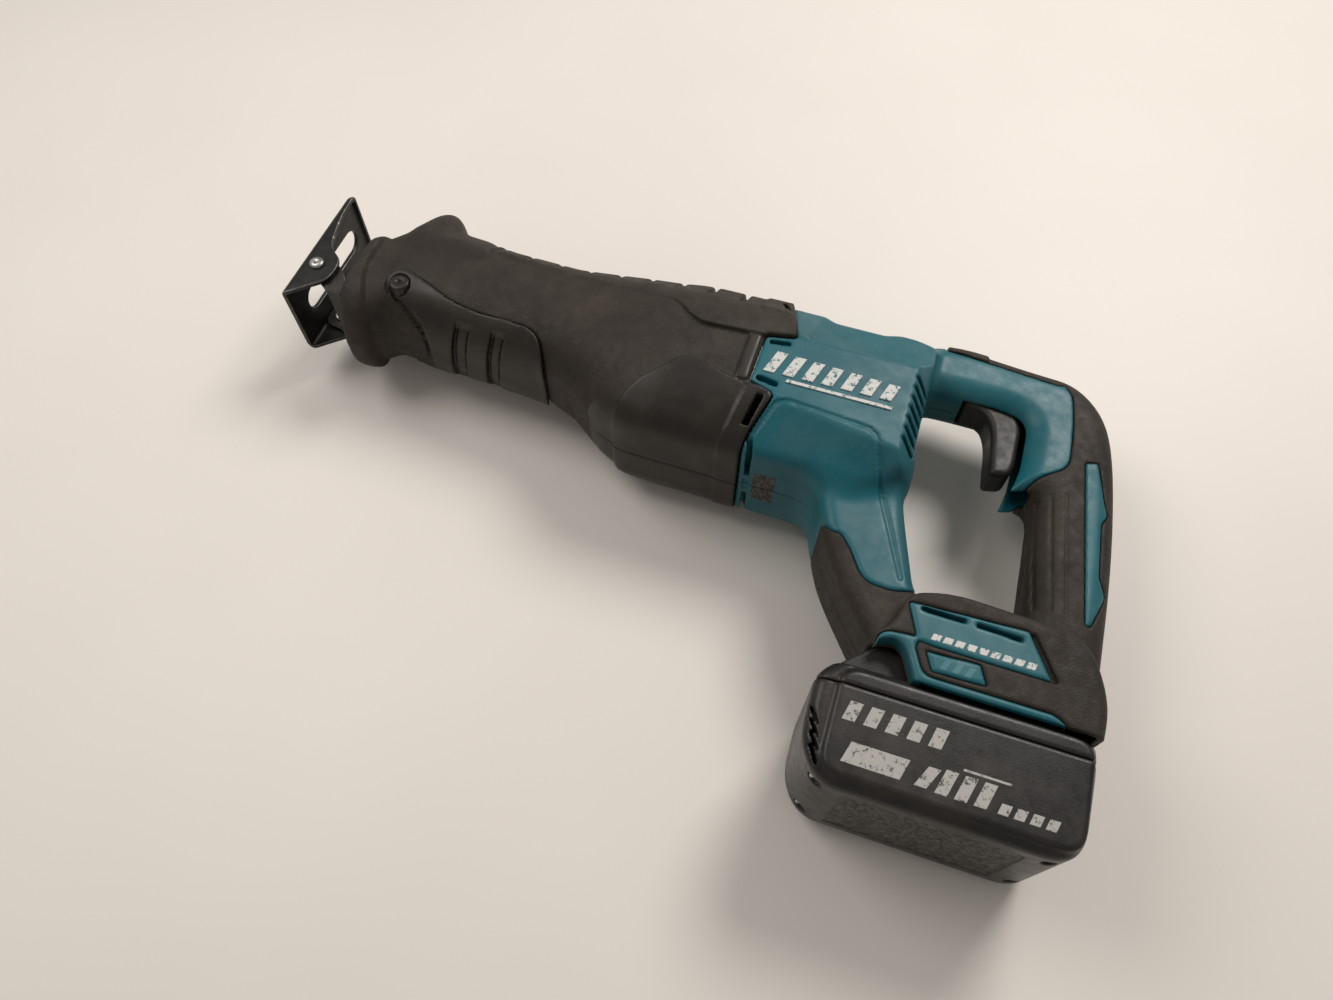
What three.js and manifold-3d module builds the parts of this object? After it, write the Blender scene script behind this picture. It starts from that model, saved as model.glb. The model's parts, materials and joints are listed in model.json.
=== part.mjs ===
// A cordless reciprocating saw, lying on its right side.
// Millimetres. The tool's own axes: +X from the shoe to the handle, +Y from the battery to the top,
// +Z to the tool's left side. X = 0 is the shoe's front face, Z = 0 the tool's middle plane.
import * as THREE from "three";
import { mergeVertices } from "three/addons/utils/BufferGeometryUtils.js";
import Module from "manifold-3d";

const wasm = await Module();
wasm.setup();

// ---------------------------------------------------------------- driving dimensions
const GAP = 0.3; // clearance between neighbouring pieces
const FAR = 300; // reach of cutting tools
const WALL = 3; // moulded wall thickness
const HALF_WIDTH = 41.5; // half the width over the motor
const AXIS_Y = -8; // height of the blade axis
const STROKE_HALF = 16; // half the blade stroke

const SHOE = { top: 32, bottom: -45, half: 24, sheet: 2.5, slotTop: 23, slotBottom: -32, slotHalf: 7 };
const RIVET = { x: 10, y: -22, r: 2.2, head: 4, tail: 3.2, headHeight: 1.8 };
const BRACKET = { sheet: 2.2, ear: 7, earRear: 30, tongueHalf: 10 };
const WEB = { front: 22, end: 135, top: -33.4 }; // the bracket's cross plate and tongue
const LOCK_BUTTON = { x: 63, y: -26, r: 5.2, half: 29.5 };

const BOOT_FRONT = 33;
const HOUSING_REAR = 338;
const BOOT_WALL = 3;

const CRANK = { x: 206, r: 31, toothRoot: 23.5, top: -33, bottom: -43, teeth: 36 };
const MOTOR_Y = -25; // height of the motor shaft
const PINION_TEETH = 9;
const YOKE = { half: 25, wall: 6, slotHalf: 7.5, halfHeight: 8 };
const ROD_R = 8;
const ROD_FRONT = 31;
const CLAMP = { front: 36, rear: 57, r: 11 };

const FAN = { front: 256, rear: 268, r: 31 };
const STATOR = { front: 274, rear: 318, outer: 27, inner: 14.5, teeth: 6 };
const SHAFT_R = 4;
const SHAFT_END = 332;

const GRIP_HALF = 17.5; // half the handle's thickness
const FOOT = { rear: 435, top: -113, bottom: -155, half: 39.5 };
const LEG_HALF = 25;

const BATTERY = { front: 320, rear: 434, half: 37.5, top: -156, seam: -165, bottom: -206 };
const RAIL = { front: 354, rear: 424, neck: 21, head: 27, neckTop: -150, top: -143 };

const TRIGGER_HALF = 9.5;
const LOCK_OFF = { x: 364, y: 26, r: 4 };

// The screws of the housing: their heads sit in recesses of the right half.
const SCREW = { head: 3.4, headHeight: 2.6, shank: 1.5, boss: 5, end: 10 };

// ---------------------------------------------------------------- materials
const paint = (color, roughness, metalness = 0) =>
  new THREE.MeshStandardMaterial({ color, roughness, metalness });
const TEAL = paint(0x0d7683, 0.45);
const RUBBER = paint(0x2a2623, 0.8);
const BLACK_STEEL = paint(0x23211f, 0.4, 0.8);
const STEEL = paint(0x9a9a98, 0.35, 1);
const ALLOY = paint(0xa7a9aa, 0.5, 0.9);
const BLACK_PLASTIC = paint(0x1c1b1a, 0.4);
const COPPER = paint(0xa65a2c, 0.4, 0.9);
const BOARD = paint(0x1f5c35, 0.6);
const FELT = paint(0x8c8577, 0.95);
const CLEAR = paint(0xe6eef0, 0.1);

// ---------------------------------------------------------------- solids from geometries
function solid(geometry) {
  const bare = new THREE.BufferGeometry();
  bare.setAttribute("position", geometry.getAttribute("position").clone());
  if (geometry.index) bare.setIndex(geometry.index.clone());
  const merged = mergeVertices(bare, 1e-4);
  const corners = merged.index.array;
  const kept = [];
  for (let i = 0; i < corners.length; i += 3) {
    const [a, b, c] = corners.slice(i, i + 3);
    if (a !== b && b !== c && c !== a) kept.push(a, b, c);
  }
  return new wasm.Manifold(new wasm.Mesh({
    numProp: 3,
    vertProperties: new Float32Array(merged.getAttribute("position").array),
    triVerts: new Uint32Array(kept),
  }));
}

function geometryOf(manifold) {
  const mesh = manifold.getMesh();
  const geometry = new THREE.BufferGeometry();
  geometry.setAttribute("position", new THREE.BufferAttribute(new Float32Array(mesh.vertProperties), 3));
  geometry.setIndex(new THREE.BufferAttribute(new Uint32Array(mesh.triVerts), 1));
  geometry.computeVertexNormals();
  return geometry;
}

const union = (...solids) => solids.reduce((whole, next) => whole.add(next));
const cut = (body, ...tools) => tools.reduce((rest, tool) => rest.subtract(tool), body);
const meet = (a, b) => a.intersect(b);

function box(x0, x1, y0, y1, z0, z1) {
  const geometry = new THREE.BoxGeometry(x1 - x0, y1 - y0, z1 - z0);
  geometry.translate((x0 + x1) / 2, (y0 + y1) / 2, (z0 + z1) / 2);
  return solid(geometry);
}

// Turns a geometry made round the Y axis so that its axis is X, Y or Z, and moves it to its place.
function along(axis, geometry, place) {
  if (axis === "x") geometry.rotateZ(-Math.PI / 2);
  if (axis === "z") geometry.rotateX(Math.PI / 2);
  geometry.translate(...place);
  return solid(geometry);
}

// A round bar along an axis, from one place on that axis to another; c holds the other two coordinates.
function bar(axis, r, from, to, c, sides = 16) {
  const middle = (from + to) / 2;
  const place = { x: [middle, ...c], y: [c[0], middle, c[1]], z: [...c, middle] }[axis];
  return along(axis, new THREE.CylinderGeometry(r, r, to - from, sides), place);
}

function tube(axis, inner, outer, from, to, c, sides = 18) {
  return cut(bar(axis, outer, from, to, c, sides), bar(axis, inner, from - 1, to + 1, c, sides));
}

// A turned piece along X about the height y: profile points are [x, radius], first and last on the axis.
function turned(profile, y, sides = 24) {
  const points = profile.map(([x, r]) => new THREE.Vector2(r, x));
  return along("x", new THREE.LatheGeometry(points, sides), [0, y, 0]);
}

// The points of an outline of [x, y] corners, each rounded to the radius given as its third number.
function ring(corners, steps = 3) {
  const count = corners.length;
  return corners.flatMap(([x, y, r = 0], i) => {
    const corner = new THREE.Vector2(x, y);
    if (r === 0) return [corner];
    const before = new THREE.Vector2(...corners[(i + count - 1) % count]).sub(corner);
    const after = new THREE.Vector2(...corners[(i + 1) % count]).sub(corner);
    const start = before.setLength(Math.min(r, before.length() * 0.49)).add(corner);
    const end = after.setLength(Math.min(r, after.length() * 0.49)).add(corner);
    return new THREE.QuadraticBezierCurve(start, corner, end).getPoints(steps);
  });
}

// An outline in the middle plane, made thick along Z.
function slab(corners, z0, z1) {
  const shape = new THREE.Shape(ring(corners));
  const geometry = new THREE.ExtrudeGeometry(shape, { depth: z1 - z0, bevelEnabled: false });
  geometry.translate(0, 0, z0);
  return solid(geometry);
}

// A counter-clockwise outline made thick to both sides of the middle plane, with sloping edges.
function pillow(corners, half, slope) {
  const wide = ring(corners);
  const narrow = ring(inset(corners, slope * 0.55));
  const layers = [[narrow, -half], [wide, slope - half], [wide, half - slope], [narrow, half]];
  const size = wide.length;
  const index = [];
  for (let layer = 0; layer < 3; layer += 1) {
    for (let j = 0; j < size; j += 1) {
      const a = layer * size + j;
      const b = layer * size + ((j + 1) % size);
      index.push(a, b, a + size, b, b + size, a + size);
    }
  }
  for (const [a, b, c] of THREE.ShapeUtils.triangulateShape(narrow, [])) {
    index.push(c, b, a, 3 * size + a, 3 * size + b, 3 * size + c);
  }
  const points = layers.flatMap(([outline, z]) => outline.flatMap(({ x, y }) => [x, y, z]));
  const geometry = new THREE.BufferGeometry();
  geometry.setAttribute("position", new THREE.Float32BufferAttribute(points, 3));
  geometry.setIndex(index);
  return solid(geometry);
}

// Moves every side of a counter-clockwise outline inwards by a distance.
function inset(corners, distance) {
  const count = corners.length;
  return corners.map(([x, y, r = 0], i) => {
    const [px, py] = corners[(i + count - 1) % count];
    const [nx, ny] = corners[(i + 1) % count];
    const inA = new THREE.Vector2(py - y, x - px).normalize();
    const inB = new THREE.Vector2(y - ny, nx - x).normalize();
    const push = distance / (1 + inA.dot(inB));
    return [x + (inA.x + inB.x) * push, y + (inA.y + inB.y) * push, r && Math.max(r - distance, 0.5)];
  });
}

// A body's cross-section at one X: a flat top, sloping shoulders, upright sides and a rounded belly.
// Corner cutting, done twice, rounds the eight corners.
function section({ top, topHalf, shoulder, half, hip, bottom, bottomHalf }) {
  const side = [[bottom, bottomHalf], [hip, half], [shoulder, half], [top, topHalf]];
  const mirrored = side.map(([y, z]) => [y, -z]).reverse();
  let ring = [...side, ...mirrored];
  for (let pass = 0; pass < 2; pass += 1) {
    ring = ring.flatMap(([y, z], i) => {
      const [ny, nz] = ring[(i + 1) % ring.length];
      return [[0.75 * y + 0.25 * ny, 0.75 * z + 0.25 * nz], [0.25 * y + 0.75 * ny, 0.25 * z + 0.75 * nz]];
    });
  }
  return ring;
}

// A skin through cross-sections at rising X, closed at both ends.
function loft(stations) {
  const rings = stations.map((station) => section(station).map(([y, z]) => [station.x, y, z]));
  const size = rings[0].length;
  const centres = [0, rings.length - 1].map((i) => {
    const sum = rings[i].reduce((total, [, y]) => total + y, 0);
    return [stations[i].x, sum / size, 0];
  });
  const index = [];
  for (let j = 0; j < size; j += 1) {
    const next = (j + 1) % size;
    for (let i = 0; i + 1 < rings.length; i += 1) {
      const [a, b, c, d] = [i * size + j, i * size + next, (i + 1) * size + j, (i + 1) * size + next];
      index.push(a, c, b, b, c, d);
    }
    const last = (rings.length - 1) * size;
    index.push(rings.length * size, j, next);
    index.push(rings.length * size + 1, last + next, last + j);
  }
  const geometry = new THREE.BufferGeometry();
  const points = [...rings.flat(), ...centres].flat();
  geometry.setAttribute("position", new THREE.Float32BufferAttribute(points, 3));
  geometry.setIndex(index);
  return solid(geometry);
}

// The same stations drawn in by a wall thickness.
const thinner = (stations, wall) => stations.map((s) => ({
  ...s,
  top: s.top - wall,
  bottom: s.bottom + wall,
  half: s.half - wall,
  topHalf: s.topHalf - wall * 0.45,
  bottomHalf: s.bottomHalf - wall * 0.45,
}));

// ---------------------------------------------------------------- the assembly
const tool = new THREE.Group();

function piece(name, body, material) {
  const mesh = new THREE.Mesh(geometryOf(body), material);
  mesh.name = name;
  tool.add(mesh);
}

// ---------------------------------------------------------------- shoe
// A pressed steel channel: a front plate with the blade slot, and a flange down each side with the
// round lobe that the rivet goes through.
function shoe() {
  const { top, bottom, half, sheet } = SHOE;
  const plate = box(0, sheet, bottom, top, -half, half);
  const flange = [
    [0, bottom], [4, bottom, 2], [14, -35, 8], [21, -29, 7], [21, -16, 7],
    [11, -10, 6], [5, 12, 10], [4.5, top, 2], [0, top],
  ];
  const left = slab(flange, half - sheet, half);
  const right = slab(flange, -half, sheet - half);
  const slotEnds = [SHOE.slotBottom + SHOE.slotHalf, SHOE.slotTop - SHOE.slotHalf];
  const slot = union(
    box(-1, sheet + 1, slotEnds[0], slotEnds[1], -SHOE.slotHalf, SHOE.slotHalf),
    ...slotEnds.map((y) => bar("x", SHOE.slotHalf, -1, sheet + 1, [y, 0], 16)),
  );
  const holes = bar("z", RIVET.r + GAP, -FAR, FAR, [RIVET.x, RIVET.y], 16);
  piece("shoe", cut(union(plate, left, right), slot, holes), BLACK_STEEL);
}

// The shoe's carrier: two ears that the rivets hold, and a flat tongue that slides in the nose.
function shoeBracket() {
  const { sheet, ear, earRear, tongueHalf } = BRACKET;
  const outer = SHOE.half - SHOE.sheet - GAP;
  const earOutline = [
    [RIVET.x - ear, RIVET.y + ear, ear], [RIVET.x - ear, RIVET.y - ear, ear],
    [RIVET.x + 4, RIVET.y - ear - 1, 3], [WEB.front, WEB.top - sheet], [earRear, WEB.top - sheet],
    [earRear, WEB.top + 3, 3], [24, RIVET.y + 2, 6], [RIVET.x + 6, RIVET.y + ear, 5],
  ];
  const ears = [slab(earOutline, outer - sheet, outer), slab(earOutline, -outer, sheet - outer)];
  const cheeks = box(WEB.front, earRear, WEB.top - sheet, WEB.top, -outer, outer);
  const tongue = box(earRear - 1, WEB.end, WEB.top - sheet, WEB.top, -tongueHalf, tongueHalf);
  const hole = bar("z", RIVET.r + GAP, -FAR, FAR, [RIVET.x, RIVET.y], 16);
  piece("shoe_bracket", cut(union(...ears, cheeks, tongue), hole), BLACK_STEEL);
}

function shoeRivets() {
  const outside = SHOE.half + GAP;
  const inside = SHOE.half - SHOE.sheet - BRACKET.sheet - 2 * GAP;
  const shank = [RIVET.r, inside - 1, outside + 1];
  const head = [RIVET.head, outside, outside + RIVET.headHeight];
  const tail = [RIVET.tail, inside - RIVET.headHeight, inside];
  for (const [side, name] of [[1, "left"], [-1, "right"]]) {
    const bars = [shank, head, tail].map(([r, a, b]) => {
      const [from, to] = side > 0 ? [a, b] : [-b, -a];
      return bar("z", r, from, to, [RIVET.x, RIVET.y], 16);
    });
    piece(`shoe_rivet_${name}`, union(...bars), STEEL);
  }
}

// A cross bolt with a waist that lets the tongue past when it is pushed over.
function shoeLockButton() {
  const { x, y, r, half } = LOCK_BUTTON;
  const body = bar("z", r, -half, half, [x, y], 20);
  const waist = box(x - 9, x + 9, y - r - 1, y - r + 1.6, -18, -6);
  piece("shoe_lock_button", cut(body, waist), BLACK_STEEL);
}

// ---------------------------------------------------------------- body skin
const BODY = [
  { x: BOOT_FRONT, top: 12, topHalf: 13, shoulder: 0, half: 29, hip: -34, bottom: -48, bottomHalf: 15 },
  { x: 40, top: 13, topHalf: 13, shoulder: 2, half: 31.5, hip: -37, bottom: -52, bottomHalf: 16 },
  { x: 47, top: 19, topHalf: 13, shoulder: 5, half: 32, hip: -36, bottom: -51, bottomHalf: 16 },
  { x: 52, top: 38, topHalf: 13, shoulder: 8, half: 31, hip: -29, bottom: -43, bottomHalf: 16 },
  { x: 56, top: 48, topHalf: 13, shoulder: 9, half: 31, hip: -26, bottom: -40, bottomHalf: 17 },
  { x: 64, top: 48, topHalf: 13, shoulder: 9, half: 31, hip: -25, bottom: -39.5, bottomHalf: 17 },
  { x: 73, top: 32, topHalf: 14, shoulder: 10, half: 31, hip: -25, bottom: -39.5, bottomHalf: 17 },
  { x: 100, top: 28, topHalf: 14, shoulder: 10, half: 31, hip: -25, bottom: -40, bottomHalf: 17 },
  { x: 145, top: 27, topHalf: 14, shoulder: 9, half: 31.5, hip: -26, bottom: -42, bottomHalf: 18 },
  { x: 165, top: 29, topHalf: 16, shoulder: 8, half: 34.5, hip: -31, bottom: -49, bottomHalf: 20 },
  { x: 175, top: 30, topHalf: 17, shoulder: 7.5, half: 36.5, hip: -35, bottom: -57, bottomHalf: 22 },
  { x: 185, top: 30.5, topHalf: 18, shoulder: 7, half: 38.5, hip: -38, bottom: -62, bottomHalf: 24 },
  { x: 205, top: 32, topHalf: 20, shoulder: 6, half: 41, hip: -41, bottom: -67, bottomHalf: 28 },
  { x: 220, top: 33, topHalf: 20, shoulder: 6, half: HALF_WIDTH, hip: -42, bottom: -67, bottomHalf: 28 },
  { x: 270, top: 34, topHalf: 20, shoulder: 6, half: HALF_WIDTH, hip: -42, bottom: -67, bottomHalf: 28 },
];
// The housing carries on behind the boot and draws in to its rear wall.
const BARREL = [
  { ...BODY.at(-1), x: 250 },
  { ...BODY.at(-1), x: 312 },
  { x: 326, top: 34, topHalf: 17, shoulder: 4, half: 38, hip: -40, bottom: -64, bottomHalf: 25 },
  { x: HOUSING_REAR, top: 33, topHalf: 12, shoulder: -2, half: 30, hip: -40, bottom: -58, bottomHalf: 20 },
];
// The line where the boot ends and the housing begins, with the housing's tongue reaching forward.
const JOIN = [[263, 60], [268.5, -3], [254, -4], [254, -34], [268.5, -38], [261, -62], [262, -90]];
const BOOT_SIDE = [...JOIN, [0, -90], [0, 60]];
const HOUSING_SIDE = inset([...JOIN, [400, -90], [400, 60]], GAP);

function boot() {
  const hollow = loft([
    { ...thinner(BODY, 6)[0], x: BOOT_FRONT - 1 },
    { ...thinner(BODY, 6)[1], x: 46, top: 9 },
    { ...thinner(BODY, BOOT_WALL)[5], x: 62, top: 28 },
    ...thinner(BODY, BOOT_WALL).slice(6, -1),
    { ...thinner(BODY, BOOT_WALL).at(-1), x: 280 },
  ]);
  const lockHole = bar("z", LOCK_BUTTON.r + GAP, -FAR, FAR, [LOCK_BUTTON.x, LOCK_BUTTON.y], 20);
  const shell = cut(loft(BODY), hollow, lockHole);
  piece("boot", meet(shell, slab(BOOT_SIDE, -FAR, FAR)), RUBBER);
}

// ---------------------------------------------------------------- gear housing
const CASTING = [
  { x: 80, top: 21, topHalf: 10, shoulder: 8, half: 25, hip: -20, bottom: -33, bottomHalf: 13 },
  { x: 145, top: 22, topHalf: 12, shoulder: 7, half: 27.5, hip: -20, bottom: -33, bottomHalf: 14 },
  { x: 165, top: 24.5, topHalf: 14, shoulder: 7, half: 30.5, hip: -28, bottom: -42, bottomHalf: 18 },
  { x: 185, top: 26, topHalf: 16, shoulder: 6, half: 34.5, hip: -34, bottom: -52.5, bottomHalf: 22 },
  { x: 205, top: 27.5, topHalf: 17.5, shoulder: 5, half: 37, hip: -39, bottom: -61.5, bottomHalf: 25 },
  { x: 243, top: 28.5, topHalf: 17.5, shoulder: 5, half: 37.6, hip: -39, bottom: -62.5, bottomHalf: 25 },
];
const CASTING_SPLIT_Y = -29;

function gearHousing() {
  const cavity = loft([
    { ...thinner(CASTING, 3)[0], x: 100, bottom: -24, hip: -14 },
    { ...thinner(CASTING, 2.6)[1], x: 150, bottom: -29 },
    ...thinner(CASTING, 2.6).slice(2, -1),
    { ...thinner(CASTING, 2.6).at(-1), x: 250 },
  ]);
  const bore = bar("x", 13.5, 70, 110, [AXIS_Y, 0], 24);
  const shell = cut(loft(CASTING), cavity, bore);
  const below = box(172, 300, -FAR, CASTING_SPLIT_Y, -FAR, FAR);
  const belowLess = box(172 + GAP, 300, -FAR, CASTING_SPLIT_Y - GAP, -FAR, FAR);
  piece("gear_housing", cut(shell, below), ALLOY);
  const seat = bar("y", 17, -63, -46, [CRANK.x, 0], 24);
  const seatBore = bar("y", 13.3, -55, -40, [CRANK.x, 0], 24);
  const boss = meet(seat, loft(thinner(CASTING, 1)));
  piece("gear_housing_cover", cut(union(meet(shell, belowLess), boss), seatBore), ALLOY);
}

// ---------------------------------------------------------------- blade drive
// The rod that carries the blade, with the cross slot that the crank roller runs in.
function slider() {
  const { half, wall, slotHalf, halfHeight } = YOKE;
  const front = CRANK.x - slotHalf - wall;
  const rear = CRANK.x + slotHalf + wall;
  const rod = bar("x", ROD_R, ROD_FRONT, front + 2, [AXIS_Y, 0], 20);
  const [under, over] = [AXIS_Y - halfHeight, AXIS_Y + halfHeight];
  const yoke = box(front, rear, under, over, -half, half);
  const slot = box(CRANK.x - slotHalf, CRANK.x + slotHalf, under - 1, over - 4, -half + 3, half - 3);
  const bladeSlot = box(ROD_FRONT - 1, CLAMP.rear - 1, AXIS_Y - 6.5, AXIS_Y + 6.5, -1, 1);
  piece("slider", cut(union(rod, yoke), slot, bladeSlot), STEEL);
}

function bladeClamp() {
  const { front, rear, r } = CLAMP;
  const sleeve = tube("x", ROD_R + GAP, r, front, rear, [AXIS_Y, 0], 24);
  const flutes = Array.from({ length: 6 }, (_, i) => {
    const angle = (i * Math.PI) / 3;
    const centre = [AXIS_Y + (r + 0.8) * Math.cos(angle), (r + 0.8) * Math.sin(angle)];
    return bar("x", 1.8, front + 4, rear + 1, centre, 8);
  });
  piece("clamp_sleeve", cut(sleeve, ...flutes), BLACK_STEEL);
  piece("clamp_spring", tube("x", ROD_R + GAP, r - 0.6, rear + GAP, rear + 4, [AXIS_Y, 0], 20), STEEL);
}

function frontBearings() {
  piece("dust_seal", tube("x", ROD_R + GAP, 13.2, 80.5, 85.5, [AXIS_Y, 0]), FELT);
  piece("front_bush", tube("x", ROD_R + GAP, 13.2, 86, 99, [AXIS_Y, 0]), ALLOY);
  piece("guide_plate", box(176, 240, 1, 3.5, -12, 12), STEEL);
}

// One gear tooth: a bar that follows the pitch cone and gets thicker as it gets further from its apex.
// The cone's apex is the origin; the tooth runs from distance a to b along +X, on the side facing +Y.
function coneTooth(slope, a, b, low, high, thickness) {
  const geometry = new THREE.BoxGeometry(b - a, high - low, 2);
  geometry.translate((a + b) / 2, (low + high) / 2, 0);
  const places = geometry.getAttribute("position");
  for (let i = 0; i < places.count; i += 1) {
    const x = places.getX(i);
    places.setY(i, places.getY(i) + slope * x);
    places.setZ(i, places.getZ(i) * thickness * x);
  }
  return geometry;
}

const RATIO = CRANK.teeth / PINION_TEETH;
const TOOTH_IN = CRANK.toothRoot;
const TOOTH_OUT = CRANK.r - 0.5;

function crankGear() {
  const { x, r, top, bottom, teeth } = CRANK;
  const rim = bar("y", r, bottom + 5, top - 1.6, [x, 0], 36);
  const back = new THREE.CylinderGeometry(r, r - 5, 5.1, 36);
  const web = union(rim, along("y", back, [x, bottom + 2.5, 0]));
  const dish = bar("y", TOOTH_IN - 1, bottom - 1, bottom + 4, [x, 0], 24);
  const hub = bar("y", 6, bottom - 9, top, [x, 0], 20);
  const pin = bar("y", 3.7, bottom + 5, AXIS_Y - YOKE.halfHeight - 1, [x, STROKE_HALF], 14);
  const ring = Array.from({ length: teeth }, (_, i) => {
    const tooth = coneTooth(-1 / RATIO, TOOTH_IN, TOOTH_OUT, -2.6, 0.9, 0.03);
    tooth.rotateY(((i + 0.5) * 2 * Math.PI) / teeth);
    tooth.translate(x, MOTOR_Y, 0);
    return solid(tooth);
  });
  piece("crank_gear", union(cut(web, dish), hub, pin, ...ring), STEEL);
  const roller = tube("y", 4, 5.5, top + 2, AXIS_Y - YOKE.halfHeight - 1.3, [x, STROKE_HALF], 16);
  piece("crank_roller", roller, STEEL);
  piece("crank_bearing", tube("y", 6.3, 13, bottom - 9, bottom - 1.5, [x, 0]), STEEL);
}

// ---------------------------------------------------------------- motor
function rotorShaft() {
  const apex = CRANK.x;
  const at = (distance, lift) => [apex + distance, distance / RATIO + lift];
  const core = [
    [apex + TOOTH_IN - 0.5, 0], at(TOOTH_IN - 0.5, -1.5), at(TOOTH_OUT + 0.5, -1.5),
    [apex + TOOTH_OUT + 0.5, SHAFT_R], [SHAFT_END, SHAFT_R], [SHAFT_END, 0],
  ];
  const teeth = Array.from({ length: PINION_TEETH }, (_, i) => {
    const tooth = coneTooth(-1 / RATIO, TOOTH_IN, TOOTH_OUT, -0.9, 2.2, 0.03);
    tooth.rotateX((i * 2 * Math.PI) / PINION_TEETH);
    tooth.translate(apex, MOTOR_Y, 0);
    return solid(tooth);
  });
  piece("rotor_shaft", union(turned(core, MOTOR_Y, 16), ...teeth), STEEL);
}

function fan() {
  const { front, rear, r } = FAN;
  const disc = bar("x", r, rear - 2, rear, [MOTOR_Y, 0], 32);
  const hub = bar("x", 9, front, rear, [MOTOR_Y, 0], 20);
  const blades = Array.from({ length: 14 }, (_, i) => {
    const blade = new THREE.BoxGeometry(rear - front - 1, r - 8, 1.2);
    blade.translate((front + rear) / 2, (r + 6) / 2, 0);
    blade.rotateX((i * 2 * Math.PI) / 14);
    blade.translate(0, MOTOR_Y, 0);
    return solid(blade);
  });
  const shaftHole = bar("x", SHAFT_R + GAP, front - 1, rear + 1, [MOTOR_Y, 0], 16);
  piece("fan", cut(union(disc, hub, ...blades), shaftHole), BLACK_PLASTIC);
}

function motor() {
  const { front, rear, outer, inner, teeth } = STATOR;
  const c = [MOTOR_Y, 0];
  piece("rotor_core", tube("x", SHAFT_R + GAP, inner - 0.8, front + 1, rear - 1, c), STEEL);
  const yoke = tube("x", outer - 4, outer, front, rear, c, 36);
  const poles = Array.from({ length: teeth }, (_, i) => {
    const pole = new THREE.BoxGeometry(rear - front, outer - inner - 3, 6);
    pole.translate((front + rear) / 2, (outer - 3 + inner) / 2, 0);
    pole.rotateX((i * 2 * Math.PI) / teeth);
    pole.translate(0, MOTOR_Y, 0);
    return solid(pole);
  });
  const bore = bar("x", inner, front - 1, rear + 1, c, 36);
  piece("stator_core", cut(union(yoke, ...poles), bore), STEEL);
  const coils = [
    ["stator_coils_front", front - 4, front - GAP],
    ["stator_coils_rear", rear + GAP, rear + 4],
  ];
  for (const [name, from, to] of coils) {
    const winding = tube("x", inner + 1, outer - 5, from + 1, to, c, 24);
    const bumps = Array.from({ length: teeth }, (_, i) => {
      const angle = (i * 2 * Math.PI) / teeth;
      const middle = (inner + outer - 4) / 2;
      return bar("x", 3.6, from, to, [MOTOR_Y + middle * Math.cos(angle), middle * Math.sin(angle)], 8);
    });
    piece(name, union(winding, ...bumps), COPPER);
  }
  piece("sensor_board", tube("x", 9, outer - 3, 323.5, 325, c), BOARD);
  piece("pinion_bearing", tube("x", SHAFT_R + GAP, 12, 246, 254, c), STEEL);
  piece("rear_bearing", tube("x", SHAFT_R + GAP, 8, 326, 331.5, c), STEEL);
  const room = loft(thinner(BARREL, WALL + 1));
  const plate = meet(room, box(250.5, 255, -FAR, FAR, -FAR, FAR));
  const lobe = bar("x", 14.5, 245.5, 255, c);
  piece("bearing_box", cut(union(plate, lobe), bar("x", 12.3, 240, 260, c)), ALLOY);
  const baffle = meet(room, box(269, 271, -FAR, FAR, -FAR, FAR));
  piece("baffle_plate", cut(baffle, bar("x", 24, 260, 280, c, 30)), BLACK_PLASTIC);
}

// ---------------------------------------------------------------- housing and grips
const HANDLE = [
  [322, 5], [345, 8, 14], [378, 8, 10], [389, 4, 8], [389, -24, 10], [384, -46, 3], [401, -36, 14],
  [403.5, -122], [439.5, -122], [439.5, -60, 40], [434, -4, 40], [426, 22, 20], [409, 37.5, 16],
  [390, 38.5, 14], [345, 42.5, 20], [322, 33],
];
const LEG = [
  [290, -52], [299, -70, 12], [307, -92, 10], [315, -108, 20], [340, -140, 4], [374, -140],
  [372, -116, 6], [354, -112, 10], [338, -62, 20], [338, -45],
];
const FOOT_SIDE = [
  [343, -140, 2], [358, -141, 6], [363, FOOT.bottom, 3], [426, FOOT.bottom - 2, 3],
  [FOOT.rear - 1, FOOT.bottom - 1, 4], [FOOT.rear, -140, 12], [425, FOOT.top, 16],
  [366, FOOT.top, 12], [350, -124, 12],
];
// The soft black covering: the back of the handle, the foot and the lower part of the leg.
const COVERING = [
  [404, 60], [404, 34, 6], [410, 5, 20], [411, -19, 6], [395, -31, 6], [388, -52], [376, -60],
  [362, -100], [351, -107, 4], [338, -107, 4], [330, -101, 6], [318, -82, 5], [308, -84, 4],
  [296, -94], [280, -160], [470, -170], [470, 60],
];
const COVERING_LESS = inset(COVERING, GAP);

const SCREWS = [
  { x: 278, y: 25, z: -19 },
  { x: 322, y: 24, z: -19 },
  { x: 318, y: -62, z: -15 },
  { x: 414, y: 20, z: -12 },
  { x: 421, y: -98, z: -12 },
  { x: 346, y: -129, z: -19 },
  { x: 422, y: -128, z: -28 },
];

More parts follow.
